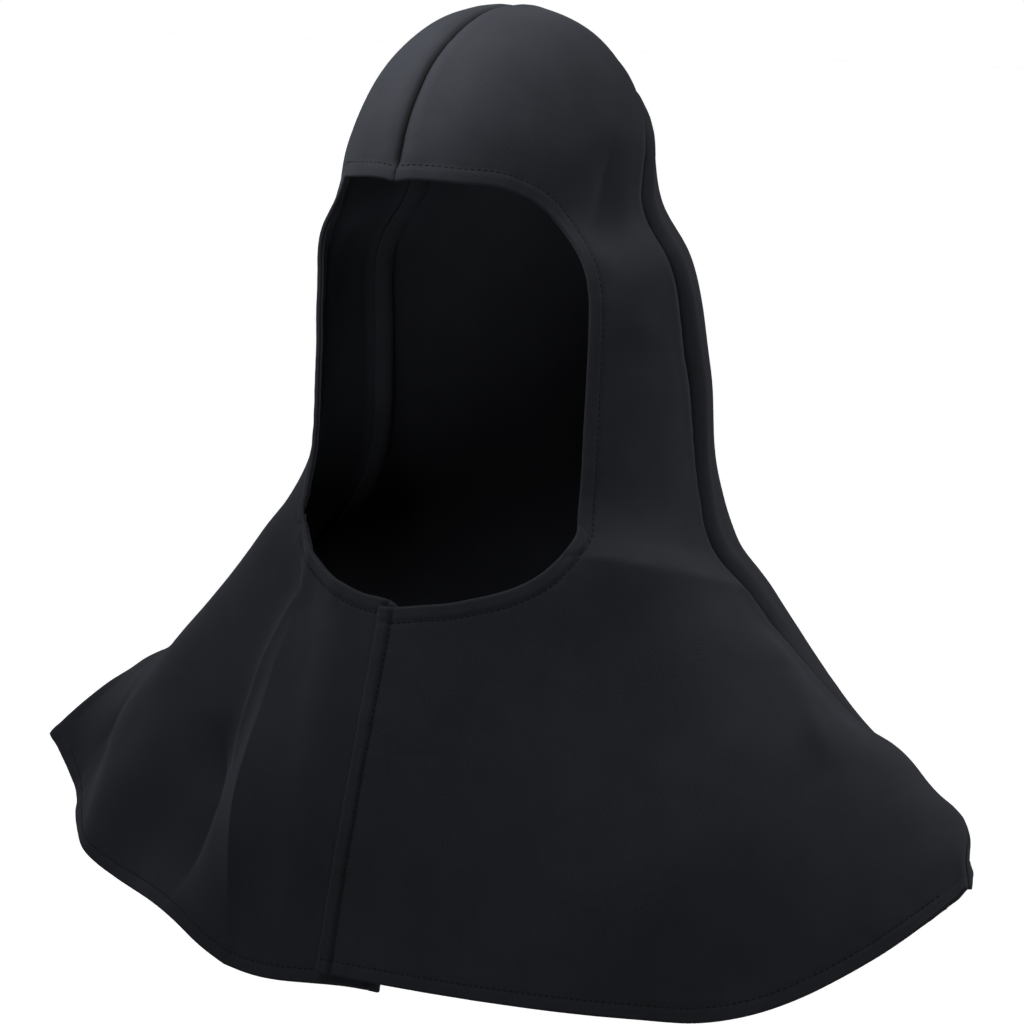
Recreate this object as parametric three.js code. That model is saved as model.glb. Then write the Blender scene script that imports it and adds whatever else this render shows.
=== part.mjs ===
// Welding shroud: a cloth hood that runs down into a shoulder cape, cut as two fronts and one back.
// Millimetres, +Z up. The wearer faces -Y, so the wearer's left is +X.
// The origin is the inside of the crown, where the shroud sits on the head.

import * as THREE from 'three';

// Cloth
const WALL = 1.5; // thickness of one layer of cloth
const LAYER_GAP = 0.5; // clearance between two layers that lie on each other
const SEAM_GAP = 0.5; // clearance between two panels at a seam
const HEM_THICKNESS = 1; // turned layer of a hem
const FACE_HEM_WIDTH = 7.5; // turned hem round the face opening
const CAPE_HEM_WIDTH = 7; // turned hem along the bottom of the cape
const FRONT_HEM_WIDTH = 8; // turned hem of the free front edge
const HEM_INSET = 0.3; // a turned layer stops this far short of the panel's own edge
const CORNER_CLIP = 0.98; // turned layers are clipped here before the opening's lower corner

// Crown, a half egg over the top of the head
const CROWN_HALF_WIDTH = 74.5;
const CROWN_FRONT = -96;
const CROWN_BACK = 94;
const CROWN_TOP_Y = 6;
const CROWN_HEIGHT = 98;
const CROWN_SHAPE = 2.08; // exponent of its upright outline, 2 for an ellipse
const CROWN_LEVEL = 0.25; // level of the crown's widest ring
const CROWN_STEPS = 6; // rings from the top down to the widest

// Front overlap: how far each front reaches past the middle at the neckline and at the hem
const LEFT_PAST_NECK = 11;
const LEFT_PAST_HEM = 20;
const RIGHT_PAST_NECK = 0;
const RIGHT_PAST_HEM = 17;
const UNDER_DROP = WALL + HEM_THICKNESS + 2 * LAYER_GAP; // depth of the right front below the left one
const UNDER_RAMP_START = -46; // sideways place where the right front starts to sink
const UNDER_RAMP_END = -23; // and where it has sunk to its full depth

// Closed hook-and-loop strip between the two fronts, beside the turned front edge
const STRIP_WIDTH = 10;
const STRIP_INSET = 1; // clearance beside the turned front edge
const STRIP_START = 0.8; // levels of its two ends
const STRIP_END = 0.97;

// Cells of each piece
const HOOD_WIDTH_CELLS = 13; // from the face edge to the side seam
const HOOD_LENGTH_CELLS = 22; // from the crown seam to the neck
const NECKLINE_CELLS = 9; // from the centre front to the opening's lower corner
const CAPE_LENGTH_CELLS = 19; // from the neckline to the hem
const BACK_WIDTH_CELLS = 24;
const ARCH_CLEAR = 0.015; // share of the hood's seam left before the back's first row below its rounded top
const BACK_HOOD_SHARE = 0.45; // share of the back's rows that lie on the hood
const STRIP_WIDTH_CELLS = 2;
const STRIP_LENGTH_CELLS = 12;
const FRONT_HEM_CLEAR = 2; // rows left free above and below the turned front edge
const EDGE_CELL = 0.03; // share of a panel taken by the narrow cell beside an edge
const FRONT_EDGE_CELL = 0.065; // the same beside the centre front edge

const RADIANS = Math.PI / 180;
const table = (columns, rows) =>
  rows.map((row) => Object.fromEntries(columns.map((name, index) => [name, row[index]])));

// A place on the shroud is given by a level, 0 at the top of the crown and 1 at the hem, and an angle in
// degrees about the wearer's vertical axis, 0 at the front and positive towards the wearer's left.

// Rings below the crown: half width, then the y of the front, of the widest place and of the back, then the
// height at the front, the side and the back, then how square its two halves are, 2 for an ellipse.
const RING_COLUMNS = [
  'level', 'halfWidth', 'yFront', 'yWide', 'yBack', 'zFront', 'zSide', 'zBack', 'squareFront', 'squareBack',
];
const LOWER_RINGS = table(RING_COLUMNS, [
  [0.31, 92, -94, 5, 100, -125, -125, -125, 2, 2],
  [0.42, 98, -91, 7, 113, -177, -177, -177, 2, 2],
  [0.53, 104, -89, 8, 122, -229, -229, -229, 2, 2],
  [0.6, 113, -90, 8, 126, -262, -262, -262, 2, 2],
  [0.64, 126, -93, 6, 128, -284, -278, -284, 1.9, 1.9],
  [0.68, 143, -97, 3, 130, -304, -295, -304, 1.8, 1.8],
  [0.74, 170, -105, 0, 133, -335, -321, -336, 1.8, 1.8],
  [0.81, 199, -114, -3, 136, -371, -344, -374, 1.9, 1.8],
  [0.89, 230, -125, -6, 140, -414, -367, -414, 2.1, 1.8],
  [1, 263, -139, -10, 145, -473, -407, -462, 2.3, 1.8],
]);

// Edge of the face opening from the middle of the forehead, round its lower corner, to the centre front
const FACE_EDGE = table(['angle', 'level'], [
  [0, 0.225],
  [18, 0.225],
  [34, 0.231],
  [47, 0.25],
  [55, 0.282],
  [58, 0.32],
  [57, 0.38],
  [55, 0.46],
  [53, 0.54],
  [50, 0.588],
  [43, 0.615],
  [32, 0.634],
  [16, 0.648],
  [0, 0.657],
]);
const FACE_CORNER_ROW = 9;
const NECK_LEVEL = FACE_EDGE[FACE_EDGE.length - 1].level;

// Side seams from the back of the crown down behind the ears, over the shoulders and out to the hem:
// the angle of the left one and of the right one at each level
const SIDE_SEAM = table(['level', 'left', 'right'], [
  [0.13, 180, 180],
  [0.155, 140, 140],
  [0.205, 116, 116],
  [0.27, 104, 104],
  [0.36, 102, 102],
  [0.46, 104, 104],
  [0.55, 104.5, 104.5],
  [0.62, 100.5, 100.5],
  [0.72, 99.5, 99.5],
  [0.82, 101, 95],
  [0.92, 98, 90.5],
  [1, 87, 87],
]);
const TIP_ANGLE = SIDE_SEAM[SIDE_SEAM.length - 1].left;
const SEAM_ARCH_ROW = 2; // the back panel's rounded top ends here
const SEAM_NECK_ROW = 7; // the hood ends and the cape begins here

// Folds and dents: a side of 1 is the wearer's left, -1 the right and 0 both. The line of a fold runs from
// the first level and angle to the second, width is its half width and depth is outward.
// It swells over the share of its length named rise and dies away over the share named fall.
const FOLD_COLUMNS = ['side', 'level0', 'angle0', 'level1', 'angle1', 'width', 'depth', 'rise', 'fall'];
const FOLDS = table(FOLD_COLUMNS, [
  [1, 0.2, 84, 0.36, 62, 12, -3, 0.4, 0.4], // dent at the left temple
  [1, 0.33, 74, 0.41, 78, 13, 2, 0.5, 0.5], // swell behind it
  [1, 0.54, 62, 0.78, 66, 32, 13, 0.4, 0.7], // shelf over the left collar bone
  [-1, 0.5, 68, 1, 78, 27, 12.5, 0.3, 0.5], // swell over the right collar bone
  [-1, 0.6, 46, 0.86, 44, 26, -10, 0.3, 0.5], // hollow below it
  [-1, 0.64, 48, 1, 30, 13, 9, 0.3, 0.4], // crest from the opening's right corner towards the hem
  [-1, 0.74, 52, 1, 55, 22, -8, 0.4, 0.4], // valley beside the crest
  [-1, 0.86, 79, 1, 79, 16, -8, 0.5, 0], // valley in front of the right tip
  [1, 0.62, 46, 0.96, 42, 14, -2.4, 0.5, 0.4], // soft valley down the left chest
  [1, 0.8, 70, 1, 68, 14, -1.5, 0.5, 0], // faint valley at the left hem
  [1, 0.8, 99, 1.01, 92, 19, 9, 0.4, 0.35], // bulge above the left tip
  [1, 0.26, 116, 0.56, 112, 30, 4, 0.4, 0.4], // swell behind the left ear
  [1, 0.6, 108, 0.78, 104, 22, 2.4, 0.4, 0.5], // swell at the root of the left shoulder
  [-1, 0.17, 54, 0.34, 56, 16, 5, 0.5, 0.4], // swell at the right temple
  [-1, 0.8, 68, 1, 66, 14, 7, 0.5, 0.3], // bulge beside the right tip
  [0, 0.6, 114, 1, 104, 22, 5, 0.2, 0], // swells behind the shoulders
  [0, 0.7, 140, 1, 142, 24, -6, 0.6, 0], // soft valleys down the back
  [0, 0.66, 164, 1, 160, 22, 5, 0.6, 0], // soft swells down the back
]);

// Level of each front's hem by angle. The back's hem lies at level 1.
const LEFT_HEM = table(['angle', 'level'], [
  [-10, 1],
  [40, 1],
  [64, 0.999],
  [78, 0.998],
  [TIP_ANGLE, 1],
]);
const RIGHT_HEM = table(['angle', 'level'], [
  [-10, 1.008],
  [0, 1.008],
  [30, 1.012],
  [52, 0.973],
  [72, 0.966],
  [TIP_ANGLE, 1],
]);

// The two tips of the hem, pulled out and down over a reach round their angle
const TIP_START = 0.88; // level where the pull begins
const TIPS = table(['side', 'angle', 'reach', 'out', 'down'], [
  [1, TIP_ANGLE, 38, 14, 4],
  [-1, TIP_ANGLE, 30, 3, 1],
]);

// Crease along each side seam, inward on the hood and outward to the tip: its depth at each level
const SEAM_CREASE_REACH = 10;
const SEAM_CREASE = table(['level', 'left', 'right'], [
  [0.2, 0, 0],
  [0.3, -2.5, -2.5],
  [0.6, -3, -3],
  [0.68, -1, -1],
  [0.84, 0, 3],
  [0.93, 1, 9],
  [1, 15, 16],
]);

const mix = (a, b, share) => a + (b - a) * share;
const clamp01 = (value) => Math.min(1, Math.max(0, value));
const smooth = (value) => clamp01(value) ** 2 * (3 - 2 * clamp01(value));

// Smooth curve through one column of a table, by another column
function valueAt(rows, column, place, by = 'level') {
  const last = rows.length - 1;
  let index = 0;
  while (index < last - 1 && place > rows[index + 1][by]) {
    index += 1;
  }
  const slope = (a, b) => (rows[b][column] - rows[a][column]) / (rows[b][by] - rows[a][by]);
  const tangent = (at) => slope(Math.max(0, at - 1), Math.min(last, at + 1));
  const span = rows[index + 1][by] - rows[index][by];
  const share = (place - rows[index][by]) / span;
  const straight = mix(rows[index][column], rows[index + 1][column], share);
  const lead = tangent(index) - slope(index, index + 1);
  const trail = tangent(index + 1) - slope(index, index + 1);
  return straight + span * share * (1 - share) * (lead * (1 - share) - trail * share);
}

// Rings of the crown, with one mirrored ring before the top so that the top comes out round
function crownRings() {
  const rings = [];
  for (let step = -1; step <= CROWN_STEPS; step += 1) {
    const turn = (step / CROWN_STEPS) * 90 * RADIANS;
    const share = Math.abs(Math.sin(turn)) ** CROWN_SHAPE;
    const height = WALL - CROWN_HEIGHT * (1 - (1 - share) ** (1 / CROWN_SHAPE));
    rings.push({
      level: (CROWN_LEVEL * step) / CROWN_STEPS,
      halfWidth: CROWN_HALF_WIDTH * Math.sin(turn),
      yFront: mix(CROWN_TOP_Y, CROWN_FRONT, Math.sin(turn)),
      yWide: CROWN_TOP_Y,
      yBack: mix(CROWN_TOP_Y, CROWN_BACK, Math.sin(turn)),
      zFront: height,
      zSide: height,
      zBack: height,
      squareFront: 2,
      squareBack: 2,
    });
  }
  return rings;
}

const RINGS = [...crownRings(), ...LOWER_RINGS];

// The flat plan: level and angle as polar coordinates, with the wearer's left to the right
const toFlat = (angle, level) => new THREE.Vector2(
  level * Math.sin(angle * RADIANS),
  -level * Math.cos(angle * RADIANS),
);
const angleOf = (flat) => Math.atan2(flat.x, -flat.y) / RADIANS;

// Pull of the tips at a place, whose distance from the vertical axis is given
function tipPull(angle, level, distance) {
  const pull = new THREE.Vector3();
  for (const tip of TIPS) {
    const away = (tip.side * angle - tip.angle) * RADIANS * distance;
    const share = smooth((level - TIP_START) / (1 - TIP_START)) * Math.exp(-((away / tip.reach) ** 2));
    pull.x += tip.side * tip.out * share;
    pull.z -= tip.down * share;
  }
  return pull;
}

// Point of the plain form, before folds
const TINY = 1e-6;
const FRONT_LEVEL_SHARE = 0.78; // a ring has its front height beyond this share of its reach
const BACK_LEVEL_SHARE = 1; // and its back height beyond this one
function formPoint(flat) {
  const level = Math.max(flat.length(), TINY);
  const ring = Object.fromEntries(RING_COLUMNS.map((name) => [name, valueAt(RINGS, name, level)]));
  const sine = flat.x / level;
  const cosine = -flat.y / level;
  const [reach, zEnd, square, levelShare] = cosine > 0
    ? [ring.yWide - ring.yFront, ring.zFront, ring.squareFront, FRONT_LEVEL_SHARE]
    : [ring.yBack - ring.yWide, ring.zBack, ring.squareBack, BACK_LEVEL_SHARE];
  const across = Math.abs(sine) / ring.halfWidth;
  const along = Math.abs(cosine) / reach;
  const radius = (across ** square + along ** square) ** (-1 / square);
  const share = clamp01((radius * along) / levelShare);
  const fallen = (share + smooth(share)) / 2;
  const height = mix(ring.zSide, zEnd, fallen);
  const point = new THREE.Vector3(radius * sine, ring.yWide - radius * cosine, height);
  return point.add(tipPull(angleOf(flat), level, radius));
}

// Outward normal of a surface over the flat plan
const PLAN_STEP = 0.004;
function normalOf(surface, flat) {
  const moved = (x, y) => surface(new THREE.Vector2(flat.x + x, flat.y + y));
  const sideways = moved(PLAN_STEP, 0).sub(moved(-PLAN_STEP, 0));
  const lengthways = moved(0, PLAN_STEP).sub(moved(0, -PLAN_STEP));
  return sideways.cross(lengthways).normalize();
}

// Sum of the folds at a place, whose distance from the vertical axis is given
function foldDepth(angle, level, distance) {
  let depth = 0;
  for (const fold of FOLDS) {
    const share = (level - fold.level0) / (fold.level1 - fold.level0);
    if (share <= 0 || fold.side * angle < 0) {
      continue;
    }
    const line = mix(fold.angle0, fold.angle1, Math.min(share, 1));
    const away = (Math.abs(angle) - line) * RADIANS * distance;
    const rise = smooth(share / fold.rise);
    const fall = fold.fall > 0 ? smooth((1 - share) / fold.fall) : 1;
    depth += fold.depth * rise * fall * Math.exp(-((away / fold.width) ** 2));
  }
  return depth;
}

// Outer face of the cloth with its folds
function foldedPoint(flat) {
  const point = formPoint(flat);
  const depth = foldDepth(angleOf(flat), flat.length(), Math.hypot(point.x, point.y));
  return depth === 0 ? point : point.addScaledVector(normalOf(formPoint, flat), depth);
}

function creaseDepth(angle, level, distance) {
  if (level < SEAM_CREASE[0].level) {
    return 0;
  }
  const side = angle > 0 ? 'left' : 'right';
  const away = Math.abs(Math.abs(angle) - valueAt(SIDE_SEAM, side, level)) * RADIANS * distance;
  return valueAt(SEAM_CREASE, side, level) * Math.exp(-away / SEAM_CREASE_REACH);
}

// Point of the cloth at a depth below its outer face
function clothPoint(flat, depth) {
  const point = foldedPoint(flat);
  const crease = creaseDepth(angleOf(flat), flat.length(), Math.hypot(point.x, point.y));
  return point.addScaledVector(normalOf(foldedPoint, flat), crease - depth);
}

// Millimetres of cloth that one unit of the flat plan covers in a direction
function scaleAlong(flat, direction) {
  const step = direction.clone().setLength(PLAN_STEP);
  const ahead = foldedPoint(flat.clone().add(step));
  return ahead.distanceTo(foldedPoint(flat.clone().sub(step))) / (2 * PLAN_STEP);
}

// Curves on the flat plan, each a function from a share of its length to a place
const smoothCurve = (places) => new THREE.CatmullRomCurve3(
  places.map((place) => new THREE.Vector3(place.x, place.y, 0)),
  false,
  'centripetal',
);
const placesOf = (rows) => rows.map((row) => toFlat(row.angle, row.level));
const stretchOf = (curve, from, to) => (share) => curve(mix(from, to, share));
const mirrored = (place, side) => new THREE.Vector2(side * place.x, place.y);

function curveThrough(places) {
  const curve = smoothCurve(places);
  return (share) => {
    const point = curve.getPointAt(clamp01(share));
    return new THREE.Vector2(point.x, point.y);
  };
}

// Share of a curve's length that lies before one of the places it runs through
const LENGTH_STEPS = 200;
function shareBefore(places, index) {
  const lengths = smoothCurve(places).getLengths(LENGTH_STEPS * (places.length - 1));
  return lengths[LENGTH_STEPS * index] / lengths[lengths.length - 1];
}

// A curve moved to its right by a distance in millimetres
const SHIFT_STEP = 0.01;
function shifted(curve, distance) {
  return (share) => {
    const place = curve(share);
    const ahead = curve(Math.min(1, share + SHIFT_STEP)).sub(curve(Math.max(0, share - SHIFT_STEP)));
    const normal = new THREE.Vector2(ahead.y, -ahead.x).normalize();
    return place.addScaledVector(normal, distance / scaleAlong(place, normal));
  };
}

// Length in millimetres of the cloth under a curve
const CURVE_STEPS = 24;
function clothLength(curve) {
  let length = 0;
  for (let step = 0; step < CURVE_STEPS; step += 1) {
    const start = foldedPoint(curve(step / CURVE_STEPS));
    length += start.distanceTo(foldedPoint(curve((step + 1) / CURVE_STEPS)));
  }
  return length;
}

// Place near the centre front by its level and its sideways distance in millimetres
function frontPlace(level, sideways) {
  const ahead = valueAt(RINGS, 'yWide', level) - valueAt(RINGS, 'yFront', level);
  return toFlat(Math.atan2(sideways, ahead) / RADIANS, level);
}

// Patch filled in between four curves: start and end run across it, left and right along it
function patch(start, end, left, right) {
  const corners = [start(0), start(1), end(0), end(1)];
  return (column, row) => {
    const across = start(column).lerp(end(column), row);
    const along = left(row).lerp(right(row), column);
    const near = corners[0].clone().lerp(corners[1], column);
    const far = corners[2].clone().lerp(corners[3], column);
    return across.add(along).sub(near.lerp(far, row));
  };
}

// Shares from 0 to 1 in equal cells, with a narrow first or last cell where a border is given
function shares(cells, firstBorder = 0, lastBorder = 0) {
  const from = firstBorder > 0 ? 1 : 0;
  const to = lastBorder > 0 ? cells - 1 : cells;
  const list = [];
  for (let index = 0; index <= cells; index += 1) {
    list.push(mix(firstBorder, 1 - lastBorder, (index - from) / (to - from)));
  }
  list[0] = 0;
  list[cells] = 1;
  return list;
}

// A sheet of cloth: places on the flat plan and the four-sided cells between them
class Sheet {
  constructor() {
    this.places = [];
    this.cells = [];
    this.known = new Map();
  }

  indexOf(place) {
    const key = `${place.x.toFixed(6)} ${place.y.toFixed(6)}`;
    if (!this.known.has(key)) {
      this.known.set(key, this.places.length);
      this.places.push(place);
    }
    return this.known.get(key);
  }

  addPatch(surface, columns, rows) {
    const index = columns.map((column) => rows.map((row) => this.indexOf(surface(column, row))));
    for (let i = 0; i + 1 < columns.length; i += 1) {
      for (let j = 0; j + 1 < rows.length; j += 1) {
        this.addCell([index[i][j], index[i + 1][j], index[i + 1][j + 1], index[i][j + 1]]);
      }
    }
  }

  // Cells run anticlockwise on the flat plan, so that their outer faces point outwards
  addCell(corners) {
    const [a, b, c, d] = corners.map((corner) => this.places[corner]);
    const turn = c.clone().sub(a).cross(d.clone().sub(b));
    this.cells.push(turn > 0 ? corners : corners.reverse());
  }

  // Closed solid between two depths, each a function of the place
  solid(topDepth, bottomDepth) {
    const count = this.places.length;
    const points = [topDepth, bottomDepth].flatMap((depth) =>
      this.places.map((place) => clothPoint(place, depth(place))));
    const faces = [];
    const rim = new Map();
    for (const [a, b, c, d] of this.cells) {
      const firstWay = points[a].distanceTo(points[c]) <= points[b].distanceTo(points[d]);
      const halves = firstWay ? [[a, b, c], [a, c, d]] : [[a, b, d], [b, c, d]];
      for (const [i, j, k] of halves) {
        faces.push([i, j, k], [i + count, k + count, j + count]);
      }
      for (const [from, to] of [[a, b], [b, c], [c, d], [d, a]]) {
        if (!rim.delete(`${to} ${from}`)) {
          rim.set(`${from} ${to}`, [from, to]);
        }
      }
    }
    for (const [from, to] of rim.values()) {
      faces.push([to, from, from + count], [to, from + count, to + count]);
    }
    const geometry = new THREE.BufferGeometry();
    const positions = points.flatMap((point) => point.toArray());
    geometry.setAttribute('position', new THREE.Float32BufferAttribute(positions, 3));
    geometry.setIndex(faces.flat());
    geometry.computeVertexNormals();
    return geometry;
  }
}

// Narrow sheet beside an edge. At each of the positions, line gives a curve from the edge into the panel.
function edgeSheet(line, positions, width) {
  const sheet = new Sheet();
  const surface = (distance, position) => line(position)(distance / clothLength(line(position)));
  sheet.addPatch(surface, [HEM_INSET, width], positions);
  return sheet;
}

const HEM_TOP = WALL + LAYER_GAP;
const HEM_BOTTOM = HEM_TOP + HEM_THICKNESS;
const SUNK_LEVEL = 0.5; // the right front sinks under the left one only below this level

// One side seam as two curves, of the hood and of the cape, moved off the seam's line by a distance.
// The share of the hood's curve that belongs to the back panel's rounded top is its arch.
function seamCurves(side, distance) {
  const places = SIDE_SEAM.map((row) => toFlat(row[side], row.level));
  const line = shifted(curveThrough(places), distance);
  const neck = shareBefore(places, SEAM_NECK_ROW);
  return {
    hood: stretchOf(line, 0, neck),
    cape: stretchOf(line, neck, 1),
    arch: shareBefore(places, SEAM_ARCH_ROW) / neck,
  };
}

const CENTRE_CLEAR = (SEAM_GAP / 2) * (CROWN_LEVEL / (CROWN_HALF_WIDTH * (Math.PI / 2))); // on the plan

const HOOD_ROWS = shares(HOOD_LENGTH_CELLS, EDGE_CELL);
const CAPE_ROWS = shares(CAPE_LENGTH_CELLS, EDGE_CELL, EDGE_CELL);

// One front of the shroud. Its curves are those of the wearer's left, and its solids are mirrored.
class Front {
  constructor(side, pastAtNeck, pastAtHem) {
    this.side = side;
    this.pastAtNeck = pastAtNeck;
    this.pastAtHem = pastAtHem;
    this.seam = seamCurves(side > 0 ? 'left' : 'right', SEAM_GAP / 2);
    this.hoodColumns = shares(HOOD_WIDTH_CELLS, EDGE_CELL, EDGE_CELL);
    this.split = NECKLINE_CELLS / (NECKLINE_CELLS + HOOD_WIDTH_CELLS);
    this.neckColumns = shares(NECKLINE_CELLS, FRONT_EDGE_CELL).map((share) => share * this.split);
    this.capeColumns = [
      ...this.neckColumns.slice(0, -1),
      ...this.hoodColumns.map((share) => mix(this.split, 1, share)),
    ];
    this.makePatches();
  }

  // Sideways place of the centre front edge at a share of its length
  edgeSideways(share) {
    return -mix(this.pastAtNeck, this.pastAtHem, share);
  }

  hemLevel(angle) {
    return valueAt(this.side > 0 ? LEFT_HEM : RIGHT_HEM, 'level', angle, 'angle');
  }

  frontEdge(share) {
    return frontPlace(mix(NECK_LEVEL, this.hemLevel(0), share), this.edgeSideways(share));
  }

  hem(share) {
    const angle = mix(angleOf(this.frontEdge(1)), angleOf(this.seam.cape(1)), share);
    return toFlat(angle, this.hemLevel(angle));
  }

  makePatches() {
    const places = placesOf(FACE_EDGE);
    places[0].x += CENTRE_CLEAR;
    if (this.pastAtNeck > 0) {
      places.push(this.frontEdge(0));
    }
    const opening = curveThrough(places);
    const cornerShare = shareBefore(places, FACE_CORNER_ROW);
    const corner = opening(cornerShare);
    const hoodSeam = (share) => {
      const place = this.seam.hood(share);
      return new THREE.Vector2(Math.max(place.x, CENTRE_CLEAR), place.y);
    };
    const crownSeam = (share) => opening(0).lerp(hoodSeam(0), share);
    const faceEdge = stretchOf(opening, 0, cornerShare);
    const neckline = stretchOf(opening, 1, cornerShare);
    const neckEnd = this.seam.cape(0);
    const neck = (share) => toFlat(
      mix(angleOf(corner), angleOf(neckEnd), share),
      mix(corner.length(), neckEnd.length(), share),
    );
    const capeTop = (share) => (share < this.split
      ? neckline(share / this.split)
      : neck((share - this.split) / (1 - this.split)));
    const onSide = (surface) => (column, row) => mirrored(surface(column, row), this.side);
    this.hood = onSide(patch(crownSeam, neck, faceEdge, hoodSeam));
    this.cape = onSide(patch(
      capeTop,
      (share) => this.hem(share),
      (share) => this.frontEdge(share),
      this.seam.cape,
    ));
  }

  // Depth below the outer face where this front lies under the other one
  sunk(place) {
    if (this.side > 0 || place.length() < SUNK_LEVEL) {
      return 0;
    }
    const sideways = formPoint(place).x;
    return UNDER_DROP * smooth((sideways - UNDER_RAMP_START) / (UNDER_RAMP_END - UNDER_RAMP_START));
  }

  solid(sheet, top, bottom) {
    return sheet.solid((place) => this.sunk(place) + top, (place) => this.sunk(place) + bottom);
  }

  panel() {
    const sheet = new Sheet();
    sheet.addPatch(this.hood, this.hoodColumns, HOOD_ROWS);
    sheet.addPatch(this.cape, this.capeColumns, CAPE_ROWS);
    return this.solid(sheet, 0, WALL);
  }

  // Turned layers, each inside the panel along one of its edges
  faceHem() {
    const line = (row) => (share) => this.hood(share, row);
    const rows = [...HOOD_ROWS.slice(0, -1), CORNER_CLIP];
    return this.solid(edgeSheet(line, rows, FACE_HEM_WIDTH), HEM_TOP, HEM_BOTTOM);
  }

  neckHem() {
    const line = (column) => (share) => this.cape(column, share);
    const columns = [...this.neckColumns.slice(0, -1), CORNER_CLIP * this.split];
    return this.solid(edgeSheet(line, columns, FACE_HEM_WIDTH), HEM_TOP, HEM_BOTTOM);
  }

  capeHem() {
    const line = (column) => (share) => this.cape(column, 1 - share);
    return this.solid(edgeSheet(line, this.capeColumns, CAPE_HEM_WIDTH), HEM_TOP, HEM_BOTTOM);
  }

  frontHem() {
    const line = (row) => (share) => this.cape(share, row);
    const rows = CAPE_ROWS.slice(FRONT_HEM_CLEAR, -FRONT_HEM_CLEAR);
    return this.solid(edgeSheet(line, rows, FRONT_HEM_WIDTH), HEM_TOP, HEM_BOTTOM);
  }

  closureStrip() {
    const sheet = new Sheet();
    const surface = (column, row) => {
      const level = mix(STRIP_START, STRIP_END, row);
      const edge = this.edgeSideways((level - NECK_LEVEL) / (1 - NECK_LEVEL));
      return frontPlace(level, edge + FRONT_HEM_WIDTH + STRIP_INSET + column * STRIP_WIDTH);
    };
    sheet.addPatch(surface, shares(STRIP_WIDTH_CELLS), shares(STRIP_LENGTH_CELLS));
    return this.solid(sheet, HEM_TOP, HEM_BOTTOM);
  }
}

// The back, whose rows end where the rows of the fronts end at the side seams
class Back {
  constructor() {
    const left = seamCurves('left', -SEAM_GAP / 2);
    const right = seamCurves('right', -SEAM_GAP / 2);
    const hoodRows = HOOD_ROWS.filter((row) => row > left.arch + ARCH_CLEAR);
    const hoodShares = hoodRows.map((row) => ((row - left.arch) / (1 - left.arch)) * BACK_HOOD_SHARE);
    const capeShares = CAPE_ROWS.slice(1).map((row) => mix(BACK_HOOD_SHARE, 1, row));
    this.rows = [0, ...hoodShares, ...capeShares];
    this.columns = shares(BACK_WIDTH_CELLS, EDGE_CELL, EDGE_CELL);
    const sideOf = (seam) => (share) => (share < BACK_HOOD_SHARE
      ? seam.hood(mix(seam.arch, 1, share / BACK_HOOD_SHARE))
      : seam.cape((share - BACK_HOOD_SHARE) / (1 - BACK_HOOD_SHARE)));
    const leftSide = sideOf(left);
    const rightSide = (share) => mirrored(sideOf(right)(share), -1);
    const arch = (share) => (share < 0.5
      ? left.hood(left.arch * (1 - 2 * share))
      : mirrored(right.hood(right.arch * (2 * share - 1)), -1));
    const leftTip = angleOf(left.cape(1));
    const rightTip = 360 - angleOf(right.cape(1));
    const hem = (share) => toFlat(mix(leftTip, rightTip, share), 1);
    this.patch = patch(arch, hem, leftSide, rightSide);
  }

  panel() {
    const sheet = new Sheet();
    sheet.addPatch(this.patch, this.columns, this.rows);
    return sheet.solid(() => 0, () => WALL);
  }

  capeHem() {
    const line = (column) => (share) => this.patch(column, 1 - share);
    return edgeSheet(line, this.columns, CAPE_HEM_WIDTH).solid(() => HEM_TOP, () => HEM_BOTTOM);
  }
}

const left = new Front(1, LEFT_PAST_NECK, LEFT_PAST_HEM);
const right = new Front(-1, RIGHT_PAST_NECK, RIGHT_PAST_HEM);
const back = new Back();

const cloth = { color: 0x1d1f24, roughness: 0.85, metalness: 0 };
const tape = { color: 0x141518, roughness: 0.95, metalness: 0 };
const pieces = [
  ['front_left', left.panel(), cloth],
  ['front_right', right.panel(), cloth],
  ['back_panel', back.panel(), cloth],
  ['face_hem_left', left.faceHem(), cloth],
  ['face_hem_right', right.faceHem(), cloth],
  ['neck_hem_left', left.neckHem(), cloth],
  ['neck_hem_right', right.neckHem(), cloth],
  ['cape_hem_left', left.capeHem(), cloth],
  ['cape_hem_right', right.capeHem(), cloth],
  ['cape_hem_back', back.capeHem(), cloth],
  ['front_edge_hem', left.frontHem(), cloth],
  ['closure_strip', left.closureStrip(), tape],
];

const shroud = new THREE.Group();
for (const [name, geometry, finish] of pieces) {
  const mesh = new THREE.Mesh(geometry, new THREE.MeshStandardMaterial(finish));
  mesh.name = name;
  shroud.add(mesh);
}

export default shroud;
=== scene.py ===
"""Looks of a welding shroud: sewn cloth panels, turned hems, stitches and a fastening tape, in metres."""

from __future__ import annotations

import logging
import math
from collections import Counter, defaultdict
from dataclasses import dataclass, field
from enum import Enum
from typing import Any, Iterable

import bmesh
import bpy
import numpy as np
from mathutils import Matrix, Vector, noise
from mathutils.bvhtree import BVHTree
from mathutils.kdtree import KDTree


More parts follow.
